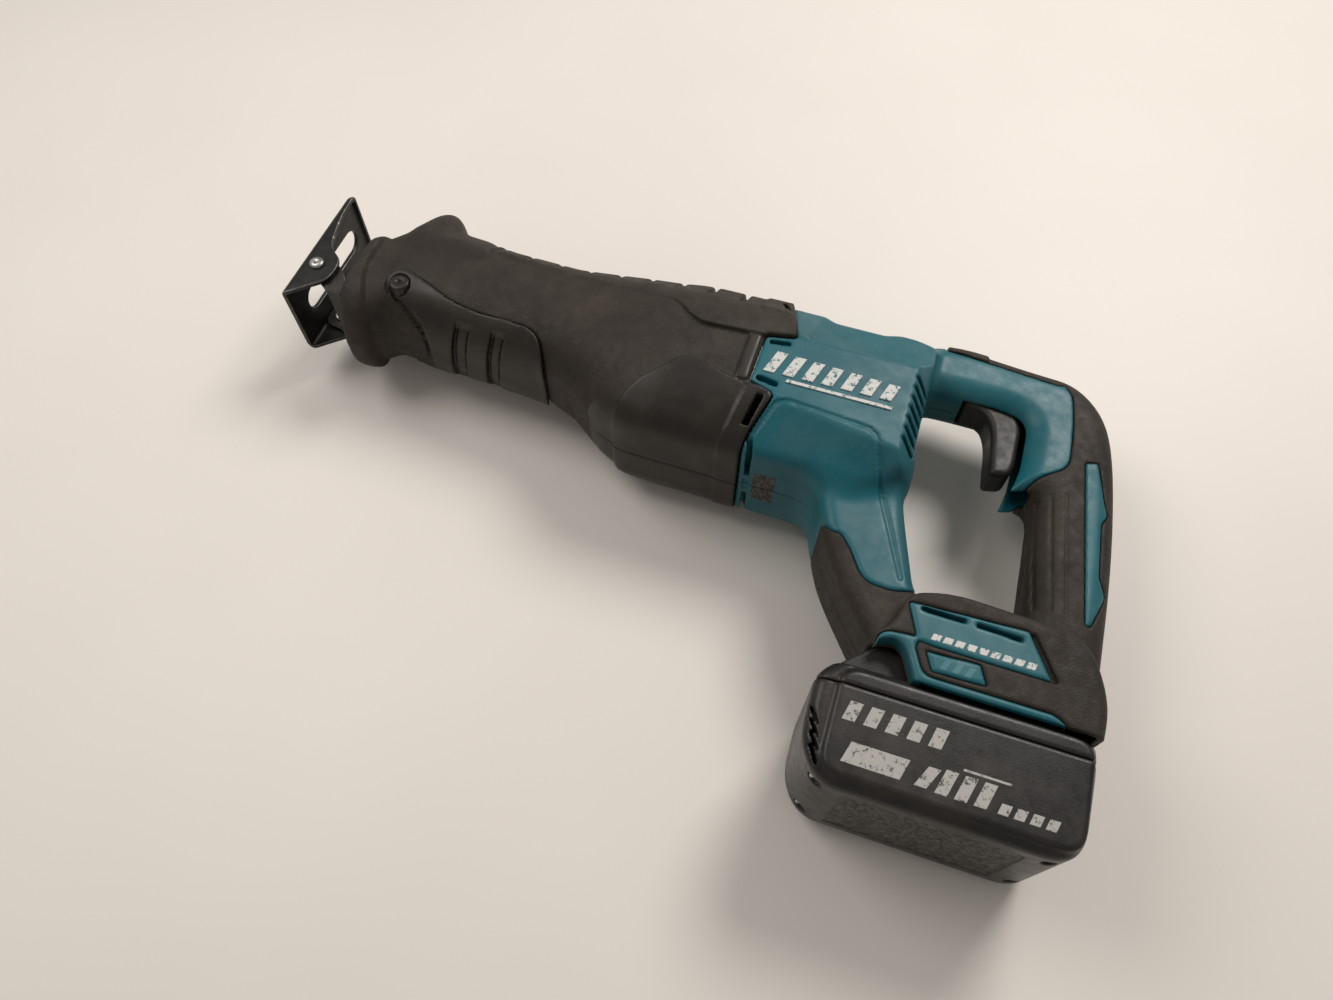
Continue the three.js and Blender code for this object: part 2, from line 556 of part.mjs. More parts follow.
function clamshells() {
  const outside = union(
    meet(loft(BARREL), slab(HOUSING_SIDE, -FAR, FAR)),
    pillow(HANDLE, GRIP_HALF, 10),
    pillow(LEG, LEG_HALF, 9),
    pillow(FOOT_SIDE, FOOT.half, 7),
  );
  const room = thinner(BARREL, WALL).map((s) => ({ ...s, x: Math.min(s.x, HOUSING_REAR - WALL) }));
  room[0].x = 240;
  const inside = union(
    loft(room),
    pillow(inset(HANDLE, WALL), GRIP_HALF - WALL, 8),
    pillow(inset(LEG, WALL), LEG_HALF - WALL, 7),
    pillow(inset(FOOT_SIDE, WALL), FOOT.half - WALL, 5),
  );
  const { boss, shank, head, end } = SCREW;
  const bosses = SCREWS.map(({ x, y }) => meet(bar("z", boss, -FAR, FAR, [x, y], 8), outside));
  const shafts = SCREWS.map(({ x, y, z }) => bar("z", shank + GAP + 0.1, z - 1, end + 2, [x, y], 8));
  const recesses = SCREWS.map(({ x, y, z }) => bar("z", head + 0.4, -FAR, z, [x, y], 10));
  const triggerWay = box(355, 398, -46, 21, -TRIGGER_HALF - 0.8, TRIGGER_HALF + 0.8);
  const railWay = union(
    box(330, RAIL.rear + 1, -170, RAIL.neckTop + GAP, -RAIL.neck - GAP, RAIL.neck + GAP),
    box(330, RAIL.rear + 1, RAIL.neckTop - 1, RAIL.top + 1, -RAIL.head - 1, RAIL.head + 1),
    box(318, 362, -175, -139.5, -RAIL.head - 2, RAIL.head + 2),
  );
  const batteryWay = box(300, 460, -220, BATTERY.top + GAP, -60, 60);
  const lockWay = bar("z", LOCK_OFF.r + GAP, -FAR, 0, [LOCK_OFF.x, LOCK_OFF.y], 16);
  const ways = [triggerWay, railWay, batteryWay, lockWay];
  const frame = cut(union(cut(outside, inside), ...bosses), ...shafts, ...recesses, ...ways);
  const covering = slab(COVERING, -FAR, FAR);
  const coveringLess = slab(COVERING_LESS, -FAR, FAR);
  const halves = [["left", GAP / 2, FAR], ["right", -FAR, -GAP / 2]];
  for (const [side, z0, z1] of halves) {
    const half = meet(frame, box(-FAR, 600, -FAR, FAR, z0, z1));
    piece(`housing_${side}`, cut(half, covering), TEAL);
    piece(`grip_${side}`, meet(half, coveringLess), RUBBER);
  }
}

function screws() {
  SCREWS.forEach(({ x, y, z }, i) => {
    const head = bar("z", SCREW.head, z - SCREW.headHeight, z - GAP, [x, y], 10);
    const shank = bar("z", SCREW.shank, z - 1, SCREW.end, [x, y], 8);
    piece(`housing_screw_${i + 1}`, union(head, shank), STEEL);
  });
}

// ---------------------------------------------------------------- controls
const TRIGGER_SIDE = [
  [358, 9, 3], [370, 7, 6], [373.5, -1, 4], [377, -29, 2], [386.5, -27, 3], [388.5, -20, 4],
  [388.5, 4, 6], [381, 17, 8], [366, 18, 5], [358, 16, 4],
];

function controls() {
  piece("trigger", pillow(TRIGGER_SIDE, TRIGGER_HALF, 3), BLACK_PLASTIC);
  piece("switch_unit", box(401, 414, -27, 12, -10, 10), BLACK_PLASTIC);
  const lockOff = bar("z", LOCK_OFF.r, -GRIP_HALF - 2, -4, [LOCK_OFF.x, LOCK_OFF.y], 16);
  piece("lock_off_button", lockOff, BLACK_PLASTIC);
  piece("controller", box(368, 416, -137, -118, -30, 30), ALLOY);
  piece("terminal_block", box(372, 420, -142, -138, -12, 12), BLACK_PLASTIC);
  piece("led_lens", box(70, 76, -33, -22, -7, 7), CLEAR);
}

// ---------------------------------------------------------------- battery
const PACK_SIDE = [
  [BATTERY.front + 1, -194, 8], [331, BATTERY.bottom, 8], [427, BATTERY.bottom, 8],
  [BATTERY.rear - 1, -199, 8], [BATTERY.rear, BATTERY.seam - 4, 3], [BATTERY.rear - 1, BATTERY.top, 5],
  [360, BATTERY.top, 1], [354, -142, 3], [343, -141, 5], [333, -150, 4], [BATTERY.front, -164, 4],
];

function battery() {
  const outside = pillow(PACK_SIDE, BATTERY.half, 6);
  const inside = pillow(inset(PACK_SIDE, 2.4), BATTERY.half - 2.4, 4);
  const beside = (half, over) => union(
    box(300, 362, BATTERY.top - over, -100, half - over, 60),
    box(300, 362, BATTERY.top - over, -100, -60, over - half),
  );
  const shell = cut(outside, beside(RAIL.head, 0), cut(inside, beside(RAIL.head, 2.4)));
  const { front, rear, neckTop, top } = RAIL;
  const [neck, head] = [RAIL.neck - 1, RAIL.head - 1];
  const rails = union(
    box(front, rear, BATTERY.top - 4, neckTop + GAP, -neck, neck),
    box(front, rear, neckTop, top, -head, head),
  );
  const slots = [-8, 8].map((z) => box(rear - 30, rear + 1, neckTop - 4, top + 1, z - 1.5, z + 1.5));
  const over = box(300, 460, BATTERY.seam, -100, -60, 60);
  const under = box(300, 460, -260, BATTERY.seam - GAP, -60, 60);
  const buttonWay = box(320, 337, -161, -130, -9.5, 9.5);
  const topCase = union(meet(shell, over), cut(rails, inside));
  piece("battery_top_case", cut(topCase, ...slots, buttonWay), BLACK_PLASTIC);
  const { bottom } = BATTERY;
  const screwAt = [[331, 24], [331, -24], [423, 24], [423, -24]];
  const sockets = screwAt.map(([x, z]) => bar("y", 3, -FAR, bottom + 5, [x, z], 10));
  piece("battery_bottom_case", cut(meet(shell, under), ...sockets), BLACK_PLASTIC);
  screwAt.forEach(([x, z], i) => {
    piece(`battery_screw_${i + 1}`, bar("y", 2.6, bottom + 0.4, bottom + 4.5, [x, z], 10), STEEL);
  });
  const cells = [];
  for (const row of [0, 1]) {
    for (let i = 0; i < 5; i += 1) {
      cells.push(bar("z", 9.2, -33, 33, [338 + 19 * i + row * 3, -191 + row * 17.2], 12));
    }
  }
  const holder = box(334, 418, -191, -174, -30, 30);
  piece("cell_pack", union(holder, ...cells), COPPER);
  const button = slab([[327, -157.5], [336, -150.4, 1], [336, -158, 1], [327, -160, 1]], -9, 9);
  piece("battery_button", button, TEAL);
}

// ---------------------------------------------------------------- build
shoe();
shoeBracket();
shoeRivets();
shoeLockButton();
boot();
gearHousing();
slider();
bladeClamp();
frontBearings();
crankGear();
rotorShaft();
fan();
motor();
clamshells();
screws();
controls();
battery();

// The tool lies on its right side: the origin is the middle of its outline on the surface below it.
const bounds = new THREE.Box3().setFromObject(tool);
const centre = bounds.getCenter(new THREE.Vector3());
tool.position.set(-centre.x, -centre.y, -bounds.min.z);

const saw = new THREE.Group();
saw.name = "reciprocating_saw";
saw.add(tool);
saw.updateMatrixWorld(true);

export default saw;
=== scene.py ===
import json
import math

import bpy
import numpy as np
from mathutils import Matrix, Vector


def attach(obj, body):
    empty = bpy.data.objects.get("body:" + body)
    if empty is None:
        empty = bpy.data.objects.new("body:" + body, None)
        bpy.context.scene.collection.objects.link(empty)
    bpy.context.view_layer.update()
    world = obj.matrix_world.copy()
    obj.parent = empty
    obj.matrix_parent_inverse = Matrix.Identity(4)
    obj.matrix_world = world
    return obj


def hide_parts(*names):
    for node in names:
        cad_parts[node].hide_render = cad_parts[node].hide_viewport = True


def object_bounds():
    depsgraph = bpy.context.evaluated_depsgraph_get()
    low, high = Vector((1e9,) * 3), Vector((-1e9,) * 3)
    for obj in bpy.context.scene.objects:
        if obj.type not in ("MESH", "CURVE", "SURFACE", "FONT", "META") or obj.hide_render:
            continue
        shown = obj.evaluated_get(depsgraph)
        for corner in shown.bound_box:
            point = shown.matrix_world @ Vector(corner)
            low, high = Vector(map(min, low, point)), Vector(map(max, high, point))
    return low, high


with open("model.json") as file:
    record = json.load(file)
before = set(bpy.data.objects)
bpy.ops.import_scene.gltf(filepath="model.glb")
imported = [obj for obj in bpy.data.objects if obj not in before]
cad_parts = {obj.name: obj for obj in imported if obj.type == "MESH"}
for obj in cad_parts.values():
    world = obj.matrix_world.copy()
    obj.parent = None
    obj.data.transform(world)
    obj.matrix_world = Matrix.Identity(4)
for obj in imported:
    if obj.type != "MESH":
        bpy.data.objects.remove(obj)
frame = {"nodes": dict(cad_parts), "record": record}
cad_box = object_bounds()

# The tool's own axes, in millimetres: x from the shoe to the handle, y from the battery to the top,
# z to the tool's left side. x = 0 is the shoe's front face and z = 0 the middle plane.
MM = 0.001
TOP = 48
HALF_WIDTH = 41.5
ORIGIN = np.array([cad_box[0][0], cad_box[1][1] - TOP * MM, cad_box[0][2] + HALF_WIDTH * MM])

WALL = 3
GRIP_HALF = 17.5
LEG_HALF = 25
FOOT_HALF = 39.5
BATTERY_HALF = 37.5
TRIGGER_HALF = 9.5
GAP = 0.3
PACK_SEAM = -165
TILT_AXIS = (10, -22)
SHOE_LOCK = (63, -26)
LOCK_OFF = (364, 26)


def place(x, y, z):
    """A point of the tool, in the frame's metres."""
    return Vector(ORIGIN + np.array([x, y, z]) * MM)


# ---------------------------------------------------------------- distance fields
def grid(low, high, step):
    """Coordinates of a lattice that covers a box, as three arrays that broadcast together."""
    lines = [np.arange(a - 2.4 * step, b + 2.5 * step, step) for a, b in zip(low, high)]
    x, y, z = (line.astype(np.float32) for line in lines)
    return x[:, None, None], y[None, :, None], z[None, None, :]


def smooth_max(a, b, k):
    """The greater of two fields, blended where they are closer than k."""
    h = np.maximum(k - np.abs(a - b), 0) / k
    return np.maximum(a, b) + h * h * k / 4


def smooth_min(a, b, k):
    return -smooth_max(-a, -b, k)


def cut(body, tool, k=0.5):
    """What is left of a body where a tool has cut, with the rim softened over k."""
    return smooth_max(body, -tool, k)


def ease(value, start, end):
    """0 before start, 1 after end, and smooth between."""
    t = np.clip((value - start) / (end - start), 0, 1)
    return t * t * (3 - 2 * t)


def block(x, y, z, xs, ys, zs):
    """A box from the ranges of its coordinates."""
    sides = [np.abs(v - (a + b) / 2) - (b - a) / 2 for v, (a, b) in ((x, xs), (y, ys), (z, zs))]
    return np.maximum(np.maximum(sides[0], sides[1]), sides[2])


def rounded(corners, steps=6):
    """The points of an outline whose corners [x, y, radius] are rounded."""
    points = []
    for i, corner in enumerate(corners):
        here = np.array(corner[:2], float)
        radius = corner[2] if len(corner) > 2 else 0
        if radius == 0:
            points.append(here)
            continue
        ends = []
        for other in (corners[i - 1], corners[(i + 1) % len(corners)]):
            way = np.array(other[:2]) - here
            length = np.linalg.norm(way)
            ends.append(here + way * min(radius / length, 0.49))
        for t in np.linspace(0, 1, steps):
            points.append((1 - t) ** 2 * ends[0] + 2 * t * (1 - t) * here + t * t * ends[1])
    return points


def inside_outline(corners, x, y):
    """Distance to an outline in the x-y plane, negative inside it."""
    points = rounded(corners)
    nearest = np.full(np.broadcast_shapes(x.shape, y.shape), 1e9, np.float32)
    within = np.zeros(nearest.shape, bool)
    for (ax, ay), (bx, by) in zip(points, points[1:] + points[:1]):
        ex, ey = bx - ax, by - ay
        t = np.clip(((x - ax) * ex + (y - ay) * ey) / (ex * ex + ey * ey + 1e-12), 0, 1)
        nearest = np.minimum(nearest, (x - ax - t * ex) ** 2 + (y - ay - t * ey) ** 2)
        if ay != by:
            within ^= ((y >= ay) != (y >= by)) & (x < ax + (y - ay) * ex / ey)
    return np.where(within, -1, 1) * np.sqrt(nearest)


def near_line(points, x, y):
    """Distance in the x-y plane to a line through points."""
    nearest = np.full(np.broadcast_shapes(x.shape, y.shape), 1e9, np.float32)
    for (ax, ay), (bx, by) in zip(points, points[1:]):
        ex, ey = bx - ax, by - ay
        t = np.clip(((x - ax) * ex + (y - ay) * ey) / (ex * ex + ey * ey), 0, 1)
        nearest = np.minimum(nearest, (x - ax - t * ex) ** 2 + (y - ay - t * ey) ** 2)
    return np.sqrt(nearest)


def thick(flat, z, half, radius):
    """An outline made thick to both sides of the middle plane, with rounded edges."""
    a = flat + radius
    b = np.abs(z) - half + radius
    return np.minimum(np.maximum(a, b), 0) + np.hypot(np.maximum(a, 0), np.maximum(b, 0)) - radius


def facet(y, z, y0, z0, y1, z1):
    """A plane through two points of a cross-section, with its outside towards greater z."""
    length = np.hypot(y1 - y0, z1 - z0)
    return ((z - z0) * (y1 - y0) - (y - y0) * (z1 - z0)) / length


# ---------------------------------------------------------------- meshes
def surface(field, axes):
    """The zero surface of a field on a lattice, as points and four-sided faces."""
    inside = field < 0
    size = [n - 1 for n in field.shape]
    corners = [np.array((i, j, k)) for i in (0, 1) for j in (0, 1) for k in (0, 1)]
    count = np.zeros(size, np.uint8)
    for i, j, k in corners:
        count += inside[i:i + size[0], j:j + size[1], k:k + size[2]]
    cells = np.argwhere((count > 0) & (count < 8))
    number = np.full(size, -1, np.int32)
    number[tuple(cells.T)] = np.arange(len(cells))
    total = np.zeros((len(cells), 3))
    hits = np.zeros(len(cells))
    for corner in corners:
        for axis in range(3):
            if corner[axis]:
                continue
            other = corner.copy()
            other[axis] = 1
            a = field[tuple((cells + corner).T)]
            b = field[tuple((cells + other).T)]
            crossed = (a < 0) != (b < 0)
            way = np.where(crossed, a / np.where(crossed, a - b, 1), 0)
            spot = np.tile(corner.astype(float), (len(cells), 1))
            spot[:, axis] = way
            total += spot * crossed[:, None]
            hits += crossed
    local = cells + total / hits[:, None]
    starts = np.array([axis.flat[0] for axis in axes])
    step = axes[0].flat[1] - axes[0].flat[0]
    faces = []
    for axis in range(3):
        u, v = (axis + 1) % 3, (axis + 2) % 3
        low = np.take(inside, range(field.shape[axis] - 1), axis)
        high = np.take(inside, range(1, field.shape[axis]), axis)
        edges = np.argwhere(low != high)
        ring = []
        for du, dv in ((-1, -1), (0, -1), (0, 0), (-1, 0)):
            cell = edges.copy()
            cell[:, u] += du
            cell[:, v] += dv
            ring.append(number[tuple(cell.T)])
        quads = np.stack(ring, 1)
        outwards = low[tuple(edges.T)]
        faces.append(np.where(outwards[:, None], quads, quads[:, ::-1]))
    return starts + local * step, np.concatenate(faces)


def piece(name, points, faces, material, body, nodes=()):
    """A mesh piece, from points in the tool's millimetres."""
    mesh = bpy.data.meshes.new(name)
    mesh.from_pydata((np.asarray(points) * MM + ORIGIN).tolist(), [], [list(face) for face in faces])
    mesh.polygons.foreach_set("use_smooth", [True] * len(mesh.polygons))
    mesh.materials.append(material)
    made = bpy.data.objects.new(name, mesh)
    bpy.context.scene.collection.objects.link(made)
    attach(made, body)
    if nodes:
        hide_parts(*nodes)
    return made


def moulded(name, field, axes, material, body, nodes=(), mirror=False):
    """A piece whose skin is the zero surface of a field; mirror turns it to the tool's other side."""
    points, faces = surface(field, axes)
    if mirror:
        points = points * (1, 1, -1)
        faces = faces[:, ::-1]
    return piece(name, points, faces, material, body, nodes)


def turned(name, profile, centre, axis, material, body, nodes=(), sides=40, star=None):
    """A turned piece: profile is [distance along the axis, radius]; star may change a radius by angle."""
    rings = []
    for along, radius in profile:
        angles = np.arange(sides) * 2 * math.pi / sides
        radii = radius * np.ones(sides) if star is None else star(radius, along, angles)
        rings.append(np.stack([np.full(sides, along), radii * np.cos(angles), radii * np.sin(angles)], 1))
    points = np.concatenate(rings)
    faces = []
    for i in range(len(profile) - 1):
        for j in range(sides):
            k = (j + 1) % sides
            faces.append([i * sides + j, i * sides + k, (i + 1) * sides + k, (i + 1) * sides + j])
    faces.append(list(range(sides))[::-1])
    faces.append([(len(profile) - 1) * sides + j for j in range(sides)])
    order = {"x": [0, 1, 2], "y": [2, 0, 1], "z": [1, 2, 0]}[axis]
    made = piece(name, points[:, order] + np.array(centre), faces, material, body, nodes)
    made.data.flip_normals()
    return made


def repaint(made, chosen, material):
    """Gives the faces whose middles a rule chooses another material."""
    mesh = made.data
    mesh.materials.append(material)
    centres = np.zeros(len(mesh.polygons) * 3)
    mesh.polygons.foreach_get("center", centres)
    x, y, z = ((centres.reshape(-1, 3) - ORIGIN) / MM).T
    index = np.where(chosen(x, y, z), len(mesh.materials) - 1, 0).astype(np.int32)
    mesh.polygons.foreach_set("material_index", index)


# ---------------------------------------------------------------- materials
def nodes_of(name):
    """A new material, with its node tree and its shader."""
    material = bpy.data.materials.new(name)
    material.use_nodes = True
    shader = material.node_tree.nodes["Principled BSDF"]
    shader.inputs["Specular IOR Level"].default_value = 0.35
    return material, material.node_tree, shader


def noise(tree, scale, detail=4, rough=0.6, stretch=(1, 1, 1), turn=(0, 0, 0), distort=0):
    """A noise texture in object space, in cycles per metre."""
    place_node = tree.nodes.new("ShaderNodeTexCoord")
    mapping = tree.nodes.new("ShaderNodeMapping")
    mapping.inputs["Scale"].default_value = stretch
    mapping.inputs["Rotation"].default_value = turn
    texture = tree.nodes.new("ShaderNodeTexNoise")
    texture.inputs["Scale"].default_value = scale
    texture.inputs["Detail"].default_value = detail
    texture.inputs["Roughness"].default_value = rough
    texture.inputs["Distortion"].default_value = distort
    tree.links.new(place_node.outputs["Object"], mapping.inputs["Vector"])
    tree.links.new(mapping.outputs["Vector"], texture.inputs["Vector"])
    return texture.outputs["Fac"]


def ramp(tree, value, stops):
    """A value or colour by stops [place, value]."""
    node = tree.nodes.new("ShaderNodeValToRGB")
    elements = node.color_ramp.elements
    while len(elements) < len(stops):
        elements.new(0.5)
    for element, (where, level) in zip(elements, stops):
        element.position = where
        element.color = (level, level, level, 1) if isinstance(level, (int, float)) else (*level, 1)
    tree.links.new(value, node.inputs["Fac"])
    return node.outputs["Color"]


def mixed(tree, share, a, b):
    """Colour a, with b over it by a share. a and b are colours or outputs."""
    node = tree.nodes.new("ShaderNodeMix")
    node.data_type = "RGBA"
    if isinstance(share, (int, float)):
        node.inputs["Factor"].default_value = share
    else:
        tree.links.new(share, node.inputs["Factor"])
    for socket, colour in ((node.inputs[6], a), (node.inputs[7], b)):
        if isinstance(colour, tuple):
            socket.default_value = (*colour, 1)
        else:
            tree.links.new(colour, socket)
    return node.outputs[2]


def times(tree, a, b):
    node = tree.nodes.new("ShaderNodeMath")
    node.operation = "MULTIPLY"
    for socket, value in zip(node.inputs, (a, b)):
        if isinstance(value, (int, float)):
            socket.default_value = value
        else:
            tree.links.new(value, socket)
    return node.outputs[0]


def bumped(tree, shader, height, strength, distance):
    node = tree.nodes.new("ShaderNodeBump")
    node.inputs["Strength"].default_value = strength
    node.inputs["Distance"].default_value = distance
    tree.links.new(height, node.inputs["Height"])
    tree.links.new(node.outputs["Normal"], shader.inputs["Normal"])


def edges_worn(tree, low, high):
    """A share that rises on convex edges."""
    geometry = tree.nodes.new("ShaderNodeNewGeometry")
    return ramp(tree, geometry.outputs["Pointiness"], [[low, 0.0], [high, 1.0]])


def dusty(tree, colour, dust, amount):
    """Colour with a thin film of dust that gathers in patches and specks."""
    patches = ramp(tree, noise(tree, 28, 5, 0.65), [[0.45, 0.0], [0.75, 1.0]])
    specks = ramp(tree, noise(tree, 900, 2, 0.5), [[0.66, 0.0], [0.72, 1.0]])
    film = mixed(tree, times(tree, patches, amount), colour, dust)
    return mixed(tree, times(tree, specks, amount), film, dust)


def teal_plastic():
    material, tree, shader = nodes_of("teal_plastic")
    tone = ramp(tree, noise(tree, 22, 4), [[0.3, (0.003, 0.088, 0.112)], [0.7, (0.005, 0.115, 0.142)]])
    worn = mixed(tree, times(tree, edges_worn(tree, 0.53, 0.62), 0.35), tone, (0.10, 0.30, 0.33))
    streaks = ramp(tree, noise(tree, 60, 6, 0.7, (1, 7, 1), (0, 0, 0.6), 1.5), [[0.66, 0.0], [0.74, 1.0]])
    scuffed = mixed(tree, times(tree, streaks, 0.3), worn, (0.22, 0.40, 0.40))
    coloured = dusty(tree, scuffed, (0.24, 0.30, 0.28), 0.13)
    tree.links.new(coloured, shader.inputs["Base Color"])
    rough = ramp(tree, noise(tree, 120, 4), [[0.3, 0.36], [0.7, 0.52]])
    tree.links.new(rough, shader.inputs["Roughness"])
    bumped(tree, shader, noise(tree, 2600, 2, 0.5), 0.18, 0.0002)
    return material


def rubber():
    """Black covering with a fine leather grain."""
    material, tree, shader = nodes_of("rubber")
    tone = ramp(tree, noise(tree, 35, 5), [[0.3, (0.016, 0.0115, 0.008)], [0.7, (0.028, 0.0205, 0.0145)]])
    worn = mixed(tree, times(tree, edges_worn(tree, 0.53, 0.6), 0.3), tone, (0.10, 0.085, 0.07))
    tree.links.new(dusty(tree, worn, (0.12, 0.095, 0.07), 0.25), shader.inputs["Base Color"])
    rough = ramp(tree, noise(tree, 200, 3), [[0.3, 0.55], [0.7, 0.75]])
    tree.links.new(rough, shader.inputs["Roughness"])
    cells = tree.nodes.new("ShaderNodeTexVoronoi")
    cells.inputs["Scale"].default_value = 1500
    cells.feature = "SMOOTH_F1"
    spot = tree.nodes.new("ShaderNodeTexCoord")
    tree.links.new(spot.outputs["Object"], cells.inputs["Vector"])
    bumped(tree, shader, cells.outputs["Distance"], 0.45, 0.0004)
    return material


def satin_rubber():
    """The smooth pads of the covering."""
    material, tree, shader = nodes_of("satin_rubber")
    tone = ramp(tree, noise(tree, 30, 5), [[0.3, (0.013, 0.0098, 0.0072)], [0.7, (0.023, 0.0178, 0.0135)]])
    worn = mixed(tree, times(tree, edges_worn(tree, 0.53, 0.6), 0.35), tone, (0.11, 0.095, 0.08))
    tree.links.new(dusty(tree, worn, (0.12, 0.10, 0.08), 0.18), shader.inputs["Base Color"])
    rough = ramp(tree, noise(tree, 70, 5), [[0.3, 0.34], [0.7, 0.5]])
    tree.links.new(rough, shader.inputs["Roughness"])
    bumped(tree, shader, noise(tree, 900, 3), 0.12, 0.0003)
    return material


def battery_plastic():
    material, tree, shader = nodes_of("battery_plastic")
    tone = ramp(tree, noise(tree, 40, 5), [[0.3, (0.009, 0.008, 0.0072)], [0.7, (0.018, 0.016, 0.0145)]])
    scratch = ramp(tree, noise(tree, 90, 8, 0.75, (1, 9, 3), (0, 0, 0.9), 2.0), [[0.64, 0.0], [0.68, 1.0]])
    cross = ramp(tree, noise(tree, 75, 8, 0.75, (8, 1, 3), (0, 0, -0.3), 2.0), [[0.66, 0.0], [0.70, 1.0]])
    marked = mixed(tree, times(tree, scratch, 0.35), tone, (0.14, 0.13, 0.12))
    marked = mixed(tree, times(tree, cross, 0.3), marked, (0.13, 0.12, 0.11))
    worn = mixed(tree, times(tree, edges_worn(tree, 0.53, 0.6), 0.4), marked, (0.16, 0.15, 0.14))
    tree.links.new(dusty(tree, worn, (0.13, 0.11, 0.09), 0.2), shader.inputs["Base Color"])
    rough = ramp(tree, noise(tree, 160, 6, 0.7), [[0.3, 0.26], [0.7, 0.44]])
    tree.links.new(rough, shader.inputs["Roughness"])
    bumped(tree, shader, noise(tree, 1500, 4, 0.6), 0.2, 0.0003)
    return material


def black_plastic():
    material, tree, shader = nodes_of("black_plastic")
    tone = ramp(tree, noise(tree, 60, 4), [[0.3, (0.010, 0.0085, 0.0075)], [0.7, (0.019, 0.016, 0.014)]])
    worn = mixed(tree, times(tree, edges_worn(tree, 0.53, 0.6), 0.35), tone, (0.10, 0.09, 0.08))
    tree.links.new(dusty(tree, worn, (0.12, 0.10, 0.08), 0.2), shader.inputs["Base Color"])
    rough = ramp(tree, noise(tree, 150, 4), [[0.3, 0.36], [0.7, 0.55]])
    tree.links.new(rough, shader.inputs["Roughness"])
    bumped(tree, shader, noise(tree, 1800, 2), 0.15, 0.0002)
    return material


def metal(name, dark, light, rough, wear=None, coat=1.0):
    """Metal with a brushed grain; wear is the bare colour that shows where its finish has gone."""
    material, tree, shader = nodes_of(name)
    tone = ramp(tree, noise(tree, 180, 5, 0.7), [[0.3, dark], [0.7, light]])
    shader.inputs["Metallic"].default_value = coat
    if wear:
        rubbed = ramp(tree, noise(tree, 70, 6, 0.75), [[0.5, 0.0], [0.62, 1.0]])
        edge = edges_worn(tree, 0.52, 0.58)
        share = mixed(tree, rubbed, times(tree, edge, 0.5), edge)
        tone = mixed(tree, share, tone, wear)
    tree.links.new(tone, shader.inputs["Base Color"])
    worn = ramp(tree, noise(tree, 300, 4), [[0.3, rough], [0.7, rough + 0.15]])
    tree.links.new(worn, shader.inputs["Roughness"])
    bumped(tree, shader, noise(tree, 700, 3, 0.5, (1, 6, 1)), 0.15, 0.0002)
    return material


def coated(name, dark, light, rough, scale=150, bump=0.2):
    """Plain stuff of one tone with a fine surface: felt, board, winding, print."""
    material, tree, shader = nodes_of(name)
    tone = ramp(tree, noise(tree, scale, 5, 0.7), [[0.3, dark], [0.7, light]])
    tree.links.new(tone, shader.inputs["Base Color"])
    worn = ramp(tree, noise(tree, scale * 2, 3), [[0.3, rough], [0.7, rough + 0.15]])
    tree.links.new(worn, shader.inputs["Roughness"])
    bumped(tree, shader, noise(tree, scale * 8, 3), bump, 0.0003)
    return material


def worn_print(name, colour, under, gone):
    """Light print that has rubbed away in places to what is under it."""
    material, tree, shader = nodes_of(name)
    lost = ramp(tree, noise(tree, 420, 6, 0.75), [[gone, 1.0], [gone + 0.07, 0.0]])
    tree.links.new(mixed(tree, lost, colour, under), shader.inputs["Base Color"])
    tree.links.new(ramp(tree, noise(tree, 200, 4), [[0.3, 0.45], [0.7, 0.6]]), shader.inputs["Roughness"])
    bumped(tree, shader, noise(tree, 1500, 3), 0.2, 0.0002)
    return material


def lens():
    material, tree, shader = nodes_of("clear_lens")
    shader.inputs["Transmission Weight"].default_value = 0.9
    shader.inputs["IOR"].default_value = 1.5
    tint = ramp(tree, noise(tree, 90, 2), [[0.3, (0.9, 0.93, 0.95)], [0.7, (0.96, 0.98, 1.0)]])
    tree.links.new(tint, shader.inputs["Base Color"])
    tree.links.new(ramp(tree, noise(tree, 500, 3), [[0.3, 0.05], [0.7, 0.14]]), shader.inputs["Roughness"])
    return material


TEAL = teal_plastic()
RUBBER = rubber()
SATIN = satin_rubber()
PACK = battery_plastic()
PLASTIC = black_plastic()
BLACK_STEEL = metal("black_steel", (0.022, 0.021, 0.020), (0.04, 0.038, 0.036), 0.34, (0.55, 0.53, 0.5), 0.75)
STEEL = metal("steel", (0.42, 0.41, 0.39), (0.58, 0.57, 0.55), 0.28)
DARK_STEEL = metal("dark_steel", (0.03, 0.028, 0.026), (0.07, 0.065, 0.06), 0.34, None, 0.8)
RIVET = metal("rivet_steel", (0.32, 0.30, 0.28), (0.55, 0.53, 0.5), 0.3, (0.75, 0.73, 0.7))
ALLOY = metal("cast_alloy", (0.5, 0.5, 0.5), (0.62, 0.62, 0.62), 0.45)
BRONZE = metal("bronze", (0.45, 0.30, 0.15), (0.58, 0.40, 0.22), 0.4)
LAMINATION = metal("lamination", (0.25, 0.25, 0.26), (0.34, 0.34, 0.35), 0.4)
COPPER = metal("copper", (0.50, 0.19, 0.08), (0.66, 0.28, 0.12), 0.3)
BOARD = coated("circuit_board", (0.01, 0.13, 0.04), (0.02, 0.20, 0.07), 0.4)
FELT = coated("felt", (0.28, 0.25, 0.2), (0.42, 0.38, 0.32), 0.9, 600, 0.6)
CELLS = coated("cell_wrap", (0.03, 0.15, 0.38), (0.06, 0.22, 0.48), 0.3, 80, 0.1)
LENS = lens()
WHITE_PRINT = worn_print("white_print", (0.62, 0.61, 0.58), (0.02, 0.13, 0.15), 0.40)
GREY_PRINT = worn_print("grey_print", (0.42, 0.40, 0.37), (0.02, 0.018, 0.016), 0.38)
